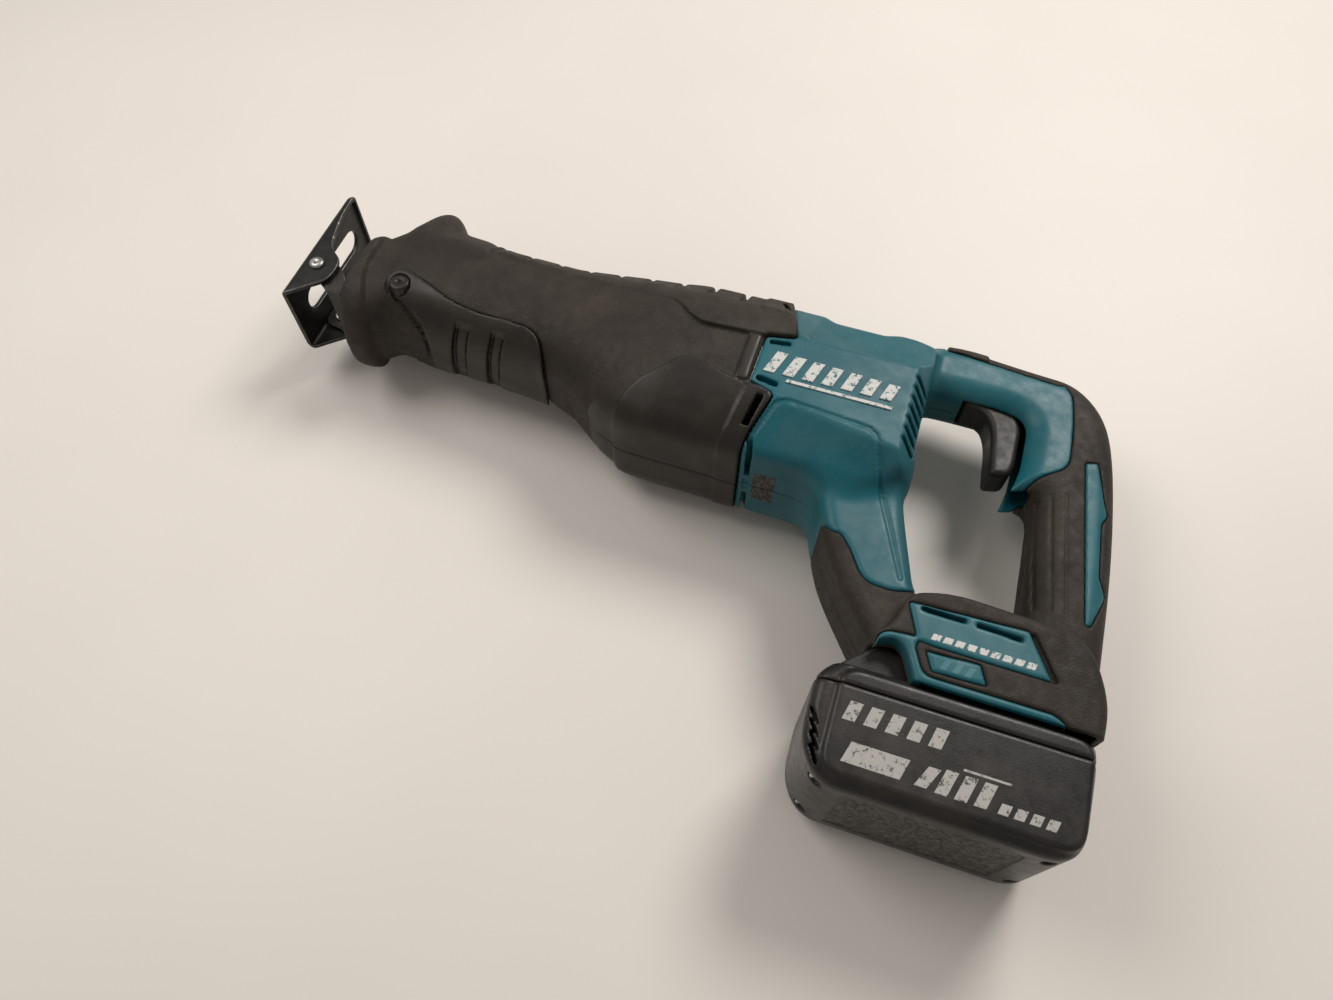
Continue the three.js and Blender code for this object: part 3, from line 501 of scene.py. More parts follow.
LABEL = worn_print("label", (0.016, 0.014, 0.012), (0.10, 0.095, 0.085), 0.45)

CAD_LOOKS = {
    "teal_plastic": TEAL, "rubber": RUBBER, "black_steel": BLACK_STEEL, "steel": STEEL,
    "cast_alloy": ALLOY, "bronze": BRONZE, "felt": FELT, "black_plastic": PLASTIC,
    "battery_plastic": PACK, "lamination": LAMINATION, "copper": COPPER, "circuit_board": BOARD,
    "cell_wrap": CELLS, "clear_lens": LENS,
}
for part in frame["record"]["subparts"]:
    shown = frame["nodes"][part["node"]]
    shown.data.materials.clear()
    look = DARK_STEEL if part["node"] == "shoe_bracket" else CAD_LOOKS[part["material_slot"]]
    shown.data.materials.append(look)

# ---------------------------------------------------------------- body skin
# Cross-sections: x, top, half width of the top, shoulder, half width, hip, bottom, half width of the bottom.
SECTIONS = np.array([
    [30, 12, 13, 0, 28, -33, -48, 15],
    [36, 12.5, 13, 1, 30.5, -36, -51.5, 16],
    [40, 14, 13, 3, 31, -37, -52, 16],
    [43, 24, 13, 4, 31, -37, -52, 16],
    [46.5, 37, 12, 6, 30.5, -36, -51, 16],
    [50, 45, 12, 7, 30.5, -34, -48, 16],
    [54, 48.2, 12, 8, 30.5, -30, -44, 16],
    [59, 48.4, 12, 9, 31, -26, -41, 17],
    [64, 44, 12, 9, 31, -25, -39.5, 17],
    [69, 37, 13, 10, 31, -25, -39.5, 17],
    [74, 34, 14, 10, 31, -25, -39.5, 17],
    [89, 33, 14, 10, 31, -25, -40, 17],
    [95, 30, 14, 10, 31, -25, -40, 17],
    [106, 28, 14, 10, 31, -25, -40, 17],
    [145, 27.5, 14, 9, 31.5, -26, -42, 18],
    [165, 29, 16, 8, 34.5, -31, -49, 20],
    [185, 30.5, 18, 7, 38.5, -38, -62, 24],
    [198, 31.5, 19, 6, 40.5, -41, -66.5, 27],
    [212, 32.5, 20, 5, 41.5, -42, -67, 28],
    [300, 34, 20, 5, 41.5, -42, -67, 28],
])


def section_at(x):
    """The seven sizes of the cross-section at each x, eased between the stations."""
    line = np.arange(20, 320, 0.5)
    reach = np.arange(-8, 8.5, 0.5)
    weights = np.exp(-(reach / 3) ** 2)
    weights /= weights.sum()
    sizes = []
    for column in SECTIONS[:, 1:].T:
        values = np.interp(line, SECTIONS[:, 0], column)
        padded = np.pad(values, len(reach) // 2, mode="edge")
        sizes.append(np.interp(x, line, np.convolve(padded, weights, "valid")).astype(np.float32))
    return sizes


def body_skin(x, y, z):
    """The body from its nose to the motor: a flat top, sloping shoulders, upright sides and a belly."""
    top, top_half, shoulder, half, hip, bottom, bottom_half = section_at(x)
    side = np.abs(z)
    upper = facet(y, side, shoulder, half, top, top_half)
    lower = facet(y, side, bottom, bottom_half, hip, half)
    skin = smooth_max(upper, lower, 1)
    skin = smooth_max(skin, side - half, 7)
    skin = smooth_max(skin, y - top, 9)
    return smooth_max(skin, bottom - y, 10)


# The line where the boot ends and the housing begins.
JOIN = [
    [261, 60], [261, 34], [269.5, -4, 2], [255, -7, 2], [254.5, -35, 2],
    [268, -39.5, 3], [260.2, -61.4, 6], [260, -90],
]
BOOT_SIDE = JOIN + [[0, -90], [0, 60]]

# The raised, smooth pads of the boot.
WING = [
    [54, -20, 5], [54, -28, 5], [62, -31.7], [69.5, -34.7], [77, -38], [82, -43, 2], [80, -60], [151, -60],
    [151, -48, 3], [147, -39, 4], [143, -32.5, 4], [136, -29.5, 4],
    [103, -28.5, 8], [90, -26], [70, -18.5], [62, -15.5, 5],
]
BULGE = [
    [254, -37.5, 2], [223, -31, 4], [219.3, -32.2, 3], [211.4, -41, 3], [203.4, -47.3, 5],
    [197, -57, 5], [194, -67], [194, -80], [270, -80], [270, -37],
]
TOP_STRIP = [
    [96, 60], [96, 15, 2], [104, 13, 3], [140, 9, 5], [192, 2, 5],
    [206, 2, 6], [216, -7, 5], [224, -10, 3], [270, -7], [270, 60],
]
REAR_RIB = [[247, -4.5, 1.5], [253.2, -4.5, 1.5], [253.2, -36, 1.5], [247, -36, 1.5]]
REAR_BAND = [[254, -37.5, 2], [250.5, -58], [248.5, -66], [248.5, -90], [275, -90], [275, -37.5]]
RIB_PITCH = 17.1
RIB_LAST = 236.7


def plateau(skin, region, rise, edge=0.8):
    """A pad that stands proud of a skin over a region, with a soft edge."""
    return smooth_max(skin - rise, region, edge)


def boot():
    axes = grid((31, -72, -43), (271, 50, 43), 0.8)
    x, y, z = axes
    side = np.abs(z)
    skin = body_skin(x, y, z)
    # The mouth has a thick lip, and the neck behind it is drawn in.
    along = x - 9 * ease(-y, 14, 48)
    drawn = ease(along, 38, 41.5) * (1 - ease(along, 46, 59))
    drawn = drawn * (1 - 0.6 * ease(y, -4, 8)) * (1 - ease(y, 14, 24))
    skin = skin - 1.2 * (1 - ease(along, 37, 40)) + 2.8 * drawn
    wing = plateau(skin, inside_outline(WING, x, y), 2.3)
    for middle, half in ((97.8, 3.6), (117.8, 3.2)):
        offset = np.abs(x - middle - 0.17 * z) - half
        wing = cut(wing, np.maximum(offset, y + 35), 0.8)
        wing = cut(wing, np.maximum(np.abs(offset) - 0.7, np.maximum(y + 35, -skin - 1.2)), 0.5)
        skin = cut(skin, np.maximum(np.abs(offset) - 0.7, np.maximum(y + 35, -skin - 1.2)), 0.5)
    bulge = plateau(skin, inside_outline(BULGE, x, y), 1.3)
    band = plateau(skin, inside_outline(REAR_BAND, x, y), 2.0)
    rib = plateau(skin, inside_outline(REAR_RIB, x, y), 1.4)
    strip = plateau(skin, inside_outline(TOP_STRIP, x, y), 1.0 + 1.4 * ease(x, 196, 226))
    phase = np.mod(RIB_LAST - x + RIB_PITCH / 2, RIB_PITCH) - RIB_PITCH / 2
    notch = np.maximum(np.abs(phase) - 1.6, 14 - y)
    strip = cut(strip, np.maximum(notch, -skin - 0.2), 0.8)
    cap = plateau(skin, np.maximum(np.abs(x - 254.5) - 7.5, 11 - y), 3.4, 2.0)
    outer = skin
    for pad in (wing, bulge, band, rib, strip, cap):
        outer = smooth_min(outer, pad, 0.8)
    # A seam follows the middle plane underneath, and a shallow groove follows the wing's outline.
    seam = np.maximum(np.abs(z) - 0.35, np.maximum(y + 60, 184 - x))
    outer = cut(outer, np.maximum(seam, -outer - 0.8), 0.3)
    ridge = np.maximum(np.abs(inside_outline(WING, x, y)) - 0.5, -outer - 1.1)
    outer = cut(outer, ridge, 0.8)
    window = np.maximum(np.abs(x - 260.2 - 0.21 * (y + 49)) - 1.7, np.abs(y + 49) - 7.5)
    outer = cut(outer, np.maximum(window, 30 - side), 0.6)
    slit = np.maximum(np.abs(x - 258.8 + 0.42 * (y - 21.5)) - 1.3, np.abs(y - 21.5) - 4.5)
    outer = cut(outer, np.maximum(slit, 18 - side), 0.6)
    wall = WALL + 2.0 * ease(-x, -60, -36)
    field = cut(outer, skin + wall, 0.8)
    front = 33 + 4 * ease(-y, 34, 52)
    field = smooth_max(field, front - x, 1.6)
    hole = np.hypot(x - SHOE_LOCK[0], y - SHOE_LOCK[1]) - 5.35
    field = cut(field, hole, 0.5)
    field = smooth_max(field, inside_outline(BOOT_SIDE, x, y) + 0.25, 1.0)
    made = moulded("boot_skin", field, axes, RUBBER, "housing", ["boot"])

    def smooth_areas(px, py, pz):
        shapes = [WING, BULGE, REAR_BAND, REAR_RIB]
        chosen = np.zeros(len(px), bool)
        for shape in shapes:
            chosen |= inside_outline(shape, px, py) < 0
        chosen |= (py < -58) & (px > 160)
        return chosen

    repaint(made, smooth_areas, SATIN)


# ---------------------------------------------------------------- housing
HANDLE = [
    [322, 5], [345, 8, 14], [378, 8, 10], [389, 4, 8], [389, -24, 10], [385.5, -39, 3], [401, -34, 14],
    [403.5, -122], [439.5, -122], [439.5, -60, 40], [435, -4, 40], [428, 22, 22], [411, 38, 18],
    [390, 39, 14], [345, 43, 20], [322, 33],
]
LEG = [
    [290, -52], [299, -70, 12], [307, -92, 10], [315, -108, 20], [340, -140, 4], [374, -140],
    [372, -116, 6], [354, -112, 10], [338, -62, 20], [338, -45],
]
FOOT = [
    [339.5, -144, 1], [346, -141.2, 3], [350, -141.8, 3], [353, -145, 3],
    [358, -156, 2], [359, -160], [434, -160, 4],
    [435.5, -140, 12], [424, -112.5, 16], [366, -112.5, 14], [349, -118, 6], [345, -134, 8], [339.8, -139, 4],
]
# Where the two halves are black: the back of the grip, the foot and the low leg.
COVERING = [
    [402, 60], [402, 31, 3], [408, 26, 6], [411, 5, 20], [411.5, -19, 6],
    [395, -31, 8], [388, -52], [376, -60],
    [362, -100], [352, -110.5, 4], [343, -113, 3], [333, -112.5, 3],
    [328, -109.5, 4], [321, -98.5, 3], [315.5, -92.5, 2],
    [311, -92, 2], [303, -85], [297, -80], [285, -76], [280, -160],
    [470, -170], [470, 60],
]
ARM_STRIP = [[343.5, 34, 2], [401, 28.8, 2], [409, 33], [409, 60], [343, 60]]
GRIP_INLAY = [
    [418.5, -13.5, 1.5], [424.8, -12, 2], [430, -33, 3], [432.5, -39, 2], [429.5, -45, 2], [431.5, -73, 2],
    [436, -81, 3], [430, -99, 2], [427.5, -99, 1],
]
FOOT_PANEL = [
    [349.1, -122.5, 2], [399.7, -120.3, 2], [411, -139.4, 1],
    [362, -139.2, 2], [356.6, -138.6, 1], [355.9, -141.7, 1],
    [360.6, -151.4, 3], [364.5, -152.6, 2], [414, -152.4, 3], [424, -159], [424, -170], [359, -170],
    [357.5, -155, 3], [352.8, -144.9, 3], [349.8, -141.6, 3], [345.7, -140.9, 3], [339.5, -144.1, 1],
    [341.2, -139.6, 2], [344.8, -137.9, 3], [355.3, -137, 1],
]
FOOT_BADGE = [[360.2, -142.2, 1], [382.5, -141, 1], [386.3, -149.4, 1], [364.1, -150.2, 1]]
PANEL_LINE = [
    [262, -61], [269.4, -43.4], [274.5, -40.7], [314.8, -44],
    [318.4, -46.6], [321.9, -53], [335, -82], [345.5, -106],
]
SCREWS = [
    (278, 25, -19), (322, 24, -19), (318, -62, -15), (414, 20, -12),
    (421, -98, -12), (346, -129, -19), (422, -128, -28),
]


def motor_skin(x, y, z):
    """The faceted housing round the motor."""
    side = np.abs(z)
    half = HALF_WIDTH - 0.25 * np.maximum(x - 300, 0) / 30
    chord = facet(y, side, -2.5, HALF_WIDTH, 33, 20)
    step = np.minimum(facet(y, side, -2.5, HALF_WIDTH, 0.5, 36.5), facet(y, side, 0.5, 36.5, 31, 21))
    sunk = ease(x - 0.1 * (y + 3), 273, 276.5) * (1 - ease(x - 0.9 * (y + 3), 325, 329))
    upper = chord * (1 - sunk) + step * sunk
    dip = 4.2 * ease(x, 277, 286) * (1 - ease(x, 309, 320))
    lower = facet(y, side, -67, 28, -42 - 0.16 * (x - 274), HALF_WIDTH)
    skin = smooth_max(side - half, upper, 1.2)
    skin = smooth_max(skin, lower, 1.2)
    skin = smooth_max(skin, y - 33.5 + dip, 3)
    skin = smooth_max(skin, -67 - y, 5)
    corner = ((x - 330) * 11 + (side - HALF_WIDTH) * 8) / 13.6
    skin = smooth_max(skin, corner, 1.2)
    roof = ((x - 326) * 10 + (y - 34) * 20) / 22.4
    skin = smooth_max(skin, roof, 3)
    floor = ((x - 318) * 12 - (y + 67) * 22) / 25
    skin = smooth_max(skin, floor, 4)
    return smooth_max(skin, x - 338, 3)


def on_rating_label(x, y, z):
    return (np.abs(x - 273.6) < 5.4) & (y < -62) & (np.abs(z - 1) < 12)


def halves():
    """The two halves, made once for the left and mirrored for the right, which takes the screws."""
    axes = grid((251, -160, 0), (441, 47, 42.5), 0.8)
    x, y, z = axes
    motor = motor_skin(x, y, z)
    leg = thick(inside_outline(LEG, x, y), z, LEG_HALF, 7)
    arm = thick(inside_outline(HANDLE, x, y), z, GRIP_HALF, 13)
    foot = thick(inside_outline(FOOT, x, y), z, FOOT_HALF, 2.5 + 3.5 * ease(x + y, 250, 290))
    skin = smooth_min(smooth_min(motor, leg, 11), arm, 7)
    skin = smooth_min(skin, foot, 5)

    # Lines of the face: the panel's groove, the creases of the grip and the vents.
    groove = near_line(PANEL_LINE, x, y) - 0.9
    skin = cut(skin, np.maximum(groove, -skin - 0.9), 0.6)
    for start, end in (((400.5, -38), (406, -96)), ((406, -36), (412.5, -96)), ((412, -34), (419, -96))):
        crease = near_line([start, end], x, y) - 0.5
        skin = cut(skin, np.maximum(np.maximum(crease, 8 - z), -skin - 0.8), 0.8)
    vents = [
        (near_line([(258.5, -9.6), (266.8, -8.4)], x, y) - 1.2, 30),
        (near_line([(258.5, -32.4), (266.5, -33.6)], x, y) - 1.6, 30),
        (near_line([(263, -61.5), (264.6, -66)], x, y) - 1.3, 8),
    ]
    for vent, low in vents:
        skin = cut(skin, np.maximum(np.maximum(vent, low - z), -skin - 5), 0.5)
    # A row of slots across the underside: one in the middle and one to each side of it.
    bottom_vent = np.maximum(np.maximum(np.abs(x - 264.4) - 1.3, np.abs(z) - 30), y + 66)
    bottom_vent = np.maximum(bottom_vent, 5 - np.abs(z - 10))
    skin = cut(skin, np.maximum(bottom_vent, -skin - 4), 0.5)
    for i in range(7):
        slot = near_line([(331, -7.5 - 6 * i), (336, -10.5 - 6 * i)], x, y) - 1.3
        skin = cut(skin, np.maximum(np.maximum(slot, 26 - z), -skin - 3), 0.4)

    # The black strip on the arm stands a little proud over its front part.
    strip = inside_outline(ARM_STRIP, x, y)
    raised = np.maximum(strip, x - 365)
    skin = smooth_min(skin, plateau(skin, raised, 1.2, 0.8), 0.4)

    inlays = np.minimum(
        np.maximum(inside_outline(GRIP_INLAY, x, y), 6 - z),
        np.maximum(np.minimum(inside_outline(FOOT_PANEL, x, y), inside_outline(FOOT_BADGE, x, y)), 30 - z),
    )
    covering = np.minimum(inside_outline(COVERING, x, y), strip)
    black = np.maximum(covering, -inlays)
    skin = cut(skin, np.maximum(np.abs(black) - 0.35, -skin - 0.9), 0.5)
    for ends in (((356, -124), (373, -124.2)), ((379, -124.3), (396.5, -125))):
        slot = near_line(ends, x, y) - 1.1
        skin = cut(skin, np.maximum(np.maximum(slot, 30 - z), -skin - 9), 0.4)
    shade = near_line([(401.5, -122), (412, -138.5)], x, y) - 1.1
    skin = cut(skin, np.maximum(np.maximum(shade, 33 - z), -skin - 1.6), 1.0)

    # Hollow, open where the trigger, the battery and the boot go.
    shell = cut(skin, skin + WALL, 0.5)
    way = block(x, y, z, (357.4, 398), (-38, 18.6), (-20, TRIGGER_HALF + 0.5))
    shell = cut(shell, way, 0.8)
    shell = cut(shell, block(x, y, z, (200, 600), (-300, -155.7), (-60, 60)), 0.4)
    shell = cut(shell, block(x, y, z, (330, 425), (-170, -149.7), (-30, 21.3)), 0.4)
    shell = cut(shell, block(x, y, z, (330, 425), (-151, -142), (-30, 28)), 0.4)
    shell = cut(shell, block(x, y, z, (318, 362), (-175, -139.5), (-30, 29)), 0.4)
    shell = smooth_max(shell, 0.25 - inside_outline(BOOT_SIDE, x, y), 0.8)
    shell = np.maximum(shell, 0.15 - z)

    for name, mirror in (("left", False), ("right", True)):
        half = shell
        if mirror:
            for sx, sy, sz in SCREWS:
                deep = np.maximum(np.hypot(x - sx, y - sy) - 3.8, -sz - z)
                post = np.maximum(np.hypot(x - sx, y - sy) - 5.4, skin + 0.5)
                post = np.maximum(np.maximum(post, 3.7 - np.hypot(x - sx, y - sy)), 0.15 - z)
                half = cut(np.minimum(half, post), deep, 0.5)
            hole = np.hypot(x - LOCK_OFF[0], y - LOCK_OFF[1]) - 4.4
            half = cut(half, hole, 0.6)
        teal = np.maximum(half, -black + 0.05)
        dark = np.maximum(half, black + 0.05)
        node = f"housing_{name}"
        made = moulded(f"housing_shell_{name}", teal, axes, TEAL, "housing", [node], mirror)
        repaint(made, on_rating_label, LABEL)
        moulded(f"grip_cover_{name}", dark, axes, RUBBER, "housing", [f"grip_{name}"], mirror)


# ---------------------------------------------------------------- trigger and buttons
TRIGGER = [
    [358, 9, 3], [370, 7, 6], [373.5, -1, 4], [377, -29, 2.5], [386.5, -27, 3], [388.5, -20, 4],
    [388.5, 4, 6], [381, 17, 8], [366, 18, 5], [358, 16, 4],
]


def trigger():
    """The trigger, a little hollow where the finger rests."""
    axes = grid((357, -30, -10), (389.5, 19, 10), 0.45)
    x, y, z = axes
    skin = thick(inside_outline(TRIGGER, x, y), z, TRIGGER_HALF, 3.2)
    waist = 0.5 * np.exp(-((y + 10) / 9) ** 2) * np.exp(-((x - 374) / 4) ** 2)
    moulded("trigger_lever", skin + waist, axes, PLASTIC, "trigger", ["trigger"])


def lock_off():
    profile = [[-4, 3.95], [-17, 3.95], [-18.8, 3.7], [-19.4, 3.0], [-19.2, 1.2]]
    centre = (*LOCK_OFF, 0)
    turned("lock_off_pin", profile, centre, "z", PLASTIC, "lock_off", ["lock_off_button"])


def shoe_lock():
    profile = [
        [-29.2, 1.0], [-29.5, 3.8], [-29.0, 4.9], [-28.2, 5.2],
        [31.6, 5.2], [32.4, 4.9], [32.7, 4.2], [32.8, 0.8], [31.2, 0.7],
    ]
    centre = (*SHOE_LOCK, 0)
    turned("shoe_lock_bolt", profile, centre, "z", SATIN, "shoe_lock", ["shoe_lock_button"])


# ---------------------------------------------------------------- shoe
FLANGE = [
    [-4, -45], [4, -45, 2], [14, -36, 8], [21, -30, 7], [21, -15, 7],
    [11, -9, 6], [5.5, 12, 10], [4.5, 32, 2], [-4, 32],
]


def shoe():
    """A bent sheet, open at the back and below, with a slot for the blade."""
    axes = grid((0, -46, -25), (22, 33, 25), 0.5)
    x, y, z = axes
    bend = 4.5
    sheet = 2.5
    aside, above, ahead = np.abs(z) - 24 + bend, y - 32 + bend, bend - x
    depth = np.maximum(np.maximum(aside, above), ahead)
    past = np.sqrt(np.maximum(aside, 0) ** 2 + np.maximum(above, 0) ** 2 + np.maximum(ahead, 0) ** 2)
    outer = np.minimum(depth, 0) + past - bend
    shell = np.maximum(outer, -(outer + sheet))
    ends = np.maximum(inside_outline(FLANGE, x, y), np.maximum(y - 32, -45 - y))
    field = smooth_max(shell, ends, 0.8)
    reach = np.maximum(np.abs(y + 4.5) - 20.5, 0)
    field = cut(field, np.hypot(reach, z) - 7, 0.6)
    field = cut(field, np.hypot(x - TILT_AXIS[0], y - TILT_AXIS[1]) - 2.5, 0.4)
    moulded("shoe_plate", field, axes, BLACK_STEEL, "shoe", ["shoe"])


def rivets():
    head = [[24.3, 4.0], [24.7, 4.0], [25.4, 3.7], [25.9, 3.0], [26.1, 2.0], [26.1, 1.2], [25.7, 0.4]]
    shank = [[17.0, 2.0], [17.1, 3.2], [18.7, 3.2], [18.8, 2.2], [24.2, 2.2]]
    for side, name in ((1, "left"), (-1, "right")):
        profile = [[side * along, radius] for along, radius in shank + head]
        centre, nodes = (*TILT_AXIS, 0), [f"shoe_rivet_{name}"]
        made = turned(f"rivet_{name}", profile, centre, "z", RIVET, "shoe_carrier", nodes)
        if side < 0:
            made.data.flip_normals()


# ---------------------------------------------------------------- screws
SOCKET_RADIUS = 2.2


def star_socket(radius, along, angles):
    """Six lobes inside the socket, where the radius is small, and a plain circle outside it."""
    lobes = 0.16 * np.cos(6 * angles) if radius < SOCKET_RADIUS else 0 * angles
    return radius * (1 + lobes)


def screw(name, centre, axis, head, length, body, node):
    """A pan-head screw with a six-lobed socket; its shank runs along the axis from its head."""
    profile = [[length, 0.4], [length - 1, 1.4], [2.3, 1.4], [2.2, head], [0.7, head]]
    profile += [[0.2, head * 0.85], [0, head * 0.6], [0, 1.7], [1.4, 1.55], [1.5, 0.3]]
    made = turned(name, profile, centre, axis, STEEL, body, [node], 36, star_socket)
    made.data.flip_normals()


def screws():
    for i, (x, y, z) in enumerate(SCREWS, 1):
        screw(f"case_screw_{i}", (x, y, z - 2.6), "z", 3.4, 18, "housing", f"housing_screw_{i}")
    for i, (x, z) in enumerate(((331, 24), (331, -24), (423, 24), (423, -24)), 1):
        screw(f"pack_screw_{i}", (x, -202.4, z), "y", 2.6, 4, "battery", f"battery_screw_{i}")


# ---------------------------------------------------------------- battery
PACK_SIDE = [
    [320.5, -192, 9], [331, -206, 9], [426, -206, 9], [433.5, -198, 9], [434, -168, 3], [433, -156, 6],
    [361, -156, 1], [354, -142, 3], [343, -140.5, 7], [333, -149, 8], [320, -163, 6],
]
PACK_PANEL = [[329.6, -157.5, 9], [432, -157.5, 9], [432, -202.5, 10], [329.6, -202.5, 10]]


def battery():
    """The slide-on pack: an upper and a lower case that meet at a seam, and the rails on top."""
    axes = grid((318, -207, -39), (435, -140, 39), 0.7)
    x, y, z = axes
    side = np.abs(z)
    core = thick(inside_outline(PACK_SIDE, x, y), z, BATTERY_HALF - 1.8, 5.5)
    panel = thick(inside_outline(PACK_PANEL, x, y), z, BATTERY_HALF, 2.2)
    skin = smooth_min(core, panel, 1.4)
    seam = np.maximum(np.abs(y - PACK_SEAM) - 0.35, -skin - 0.7)
    skin = cut(skin, seam, 0.4)
    for i in range(4):
        slot = near_line([(322 + 1.1 * i, -178 - 5 * i), (325.5 + 1.1 * i, -184 - 5 * i)], x, y) - 0.7
        skin = cut(skin, np.maximum(np.maximum(slot, 20 - side), -skin - 2.5), 0.4)
    label = np.maximum(np.maximum(np.abs(x - 378) - 36, side - 25), -skin - 0.5)
    skin = cut(skin, np.maximum(label, y + 205), 0.4)
    for sx in (331, 423):
        socket = np.hypot(x - sx, side - 24) - 3
        skin = cut(skin, np.maximum(socket, y + 198), 0.4)
    inner = skin + 2.4
    low_hollow = np.maximum(inner, -block(x, y, z, (300, 362), (-158.4, -100), (24.6, 60)))
    low_hollow = np.maximum(low_hollow, -block(x, y, z, (300, 362), (-158.4, -100), (-60, -24.6)))
    for sign in (1, -1):
        beside = block(x, y, z, (300, 362), (-156, -100), tuple(sorted((27 * sign, 60 * sign))))
        skin = cut(skin, beside, 1.2)
    shell = cut(skin, low_hollow, 0.4)
    top = smooth_max(shell, PACK_SEAM + GAP / 2 - y, 0.3)
    rails = np.minimum(
        block(x, y, z, (354, 424), (-160, -149.7), (-20, 20)),
        block(x, y, z, (354, 424), (-150, -143), (-26, 26)),
    )
    top = np.minimum(top, rails)
    for middle in (-8, 8):
        top = cut(top, block(x, y, z, (394, 430), (-154, -140), (middle - 1.5, middle + 1.5)), 0.3)
    top = cut(top, block(x, y, z, (318, 337.5), (-161, -130), (-9.5, 9.5)), 0.6)
    bottom = smooth_max(shell, y - PACK_SEAM + GAP / 2, 0.3)
    moulded("pack_top", top, axes, PACK, "battery", ["battery_top_case"])
    base = moulded("pack_base", bottom, axes, PACK, "battery", ["battery_bottom_case"])
    repaint(base, lambda px, py, pz: (py < -205) & (np.abs(px - 378) < 35.6) & (np.abs(pz) < 24.6), LABEL)


# ---------------------------------------------------------------- marks
def bars(name, quads, z_low, z_high, material, body):
    """Flat slanted bars, each a four-cornered plate with a bevelled rim."""
    points = []
    faces = []
    for quad in quads:
        base = len(points)
        middle = np.mean(np.array(quad, float), 0)
        for z, shrink in ((z_low, 1.0), (z_high - 0.15, 1.0), (z_high, 0.93)):
            for corner in quad:
                spot = middle + (np.array(corner, float) - middle) * shrink
                points.append([*spot, z])
        for ring in range(2):
            for j in range(4):
                k = (j + 1) % 4
                a, b = base + ring * 4 + j, base + ring * 4 + k
                faces.append([a, b, b + 4, a + 4])
        faces.append([base + 8, base + 9, base + 10, base + 11])
        faces.append([base + 3, base + 2, base + 1, base])
    made = piece(name, points, faces, material, body)
    made.data.polygons.foreach_set("use_smooth", [False] * len(made.data.polygons))


def slanted(x0, x1, y0, y1, lean=0.25):
    """The corners of an upright bar that leans to the right."""
    push = (y1 - y0) * lean
    return [[x0, y0], [x1, y0], [x1 + push, y1], [x0 + push, y1]]


def marks():
    plates = []
    for i in range(7):
        plates.append(slanted(259 + 9.4 * i, 264.5 + 9.4 * i, -28 + 0.25 * i, -15 - 0.35 * i, 0.3))
    plates.append(slanted(271, 322, -31.5, -29.8, 0.3))
    bars("side_mark", plates, 40.9, 42.2, WHITE_PRINT, "housing")
    small = [slanted(361 + 4.85 * i, 364.6 + 4.85 * i, -136.9, -133.9, 0.3) for i in range(9)]
    bars("foot_mark", small, 38.9, 39.65, WHITE_PRINT, "housing")
    badge = [slanted(366.5 + 5 * i, 369.3 + 5 * i, -148.4, -143.6, 0.4) for i in range(3)]
    bars("foot_badge_mark", badge, 38.9, 39.6, TEAL, "housing")
    large = [slanted(334 + 8.6 * i, 339.4 + 8.6 * i, -180, -171.5, 0.25) for i in range(5)]
    rows = [slanted(337, 361, -196.5, -187.5, 0.3), slanted(366, 371, -196.5, -187.5, 0.5)]
    rows += [slanted(374 + 7.5 * i, 379 + 7.5 * i, -197, -186.5, 0.3) for i in range(3)]
    rows += [slanted(398 + 6 * i, 402.2 + 6 * i, -197, -192.5, 0.3) for i in range(4)]
    rows.append(slanted(383, 402, -185.2, -184.2, 0.2))
    bars("pack_mark", large + rows, 37.2, 37.58, GREY_PRINT, "battery")


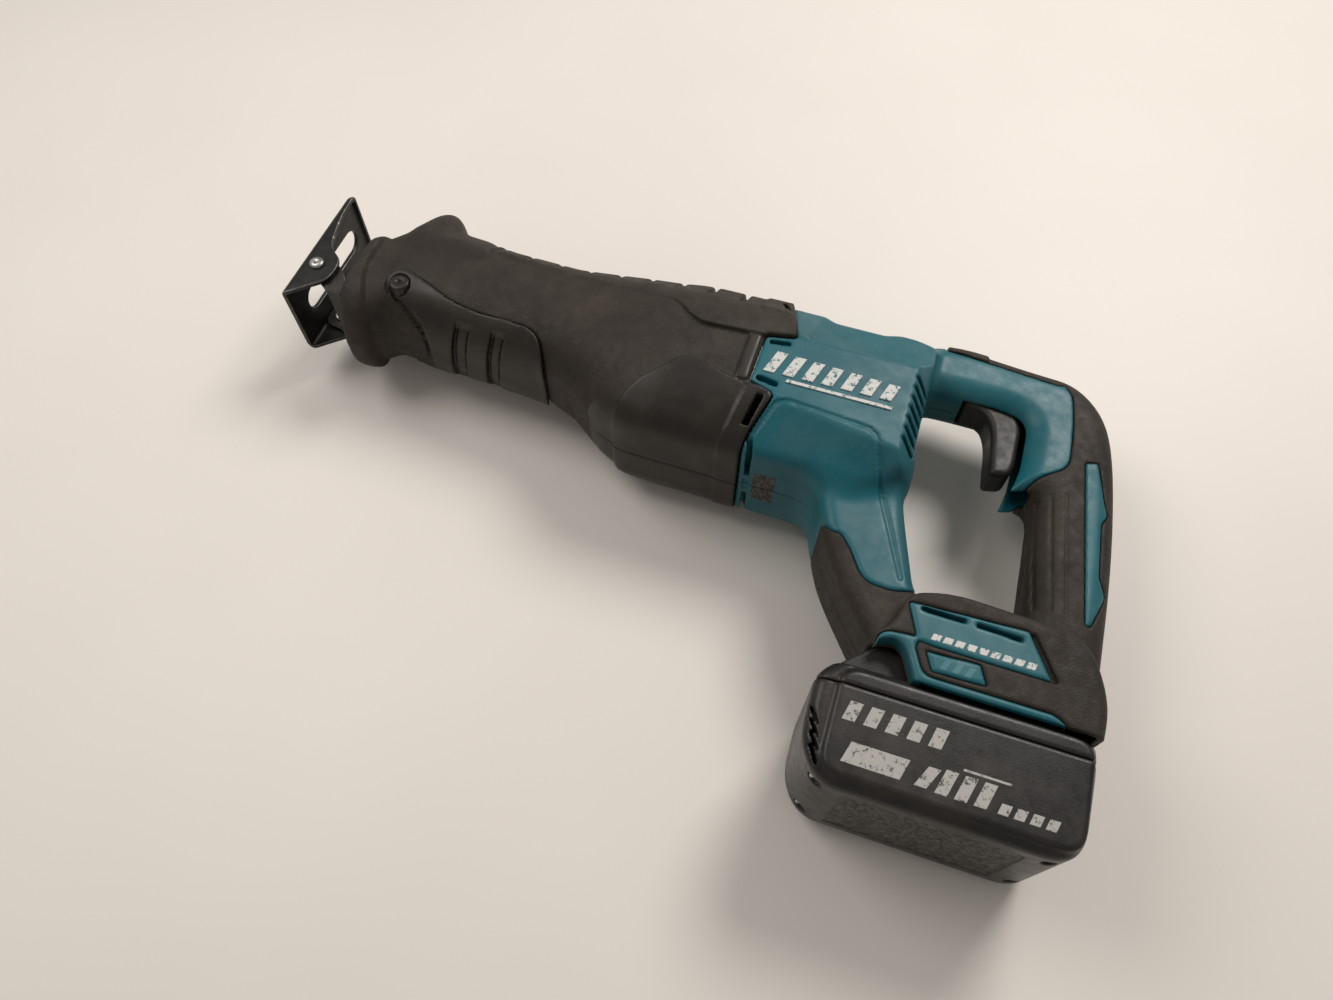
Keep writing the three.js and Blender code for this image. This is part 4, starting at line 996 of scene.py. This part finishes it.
# ---------------------------------------------------------------- room, light and camera
def floor():
    size = 3.0
    mesh = bpy.data.meshes.new("floor")
    corners = [(-size, -size, 0), (size, -size, 0), (size, size, 0), (-size, size, 0)]
    mesh.from_pydata(corners, [], [(0, 1, 2, 3)])
    material, tree, shader = nodes_of("floor")
    tone = ramp(tree, noise(tree, 3, 3), [[0.3, (0.78, 0.725, 0.665)], [0.7, (0.82, 0.765, 0.705)]])
    tree.links.new(tone, shader.inputs["Base Color"])
    shader.inputs["Roughness"].default_value = 0.45
    shader.inputs["Specular IOR Level"].default_value = 0.3
    mesh.materials.append(material)
    ground = bpy.data.objects.new("floor", mesh)
    bpy.context.scene.collection.objects.link(ground)


def area_light(name, where, target, size, power, colour):
    lamp = bpy.data.lights.new(name, "AREA")
    lamp.shape = "DISK"
    lamp.size = size
    lamp.energy = power
    lamp.color = colour
    holder = bpy.data.objects.new(name, lamp)
    holder.location = where
    holder.rotation_euler = (Vector(target) - Vector(where)).to_track_quat("-Z", "Y").to_euler()
    bpy.context.scene.collection.objects.link(holder)


def lights():
    bpy.context.scene.view_settings.view_transform = "Standard"
    world = bpy.data.worlds.new("room")
    world.use_nodes = True
    background = world.node_tree.nodes["Background"]
    background.inputs["Color"].default_value = (1.0, 0.96, 0.92, 1)
    background.inputs["Strength"].default_value = 0.31
    bpy.context.scene.world = world
    area_light("key", (0.40, 0.80, 1.05), (0, 0, 0), 0.55, 10.8, (1, 0.97, 0.94))
    area_light("window", (-0.65, 0.1, 0.9), (0, 0, 0), 0.6, 4, (1, 0.98, 0.96))


def camera():
    right = Vector((0.9483, 0.3173, 0))
    up = Vector((-0.2764, 0.8262, 0.4909))
    back = right.cross(up)
    lens_data = bpy.data.cameras.new("camera")
    lens_data.lens = 25.52
    lens_data.sensor_width = 36
    lens_data.clip_start = 0.01
    holder = bpy.data.objects.new("camera", lens_data)
    turn = Matrix((right, up, back)).transposed().to_4x4()
    holder.matrix_world = Matrix.Translation(place(302.9, -304.4, 405)) @ turn
    bpy.context.scene.collection.objects.link(holder)
    bpy.context.scene.camera = holder


camera()
lights()
floor()
boot()
halves()
trigger()
lock_off()
shoe_lock()
shoe()
rivets()
screws()
battery()
marks()
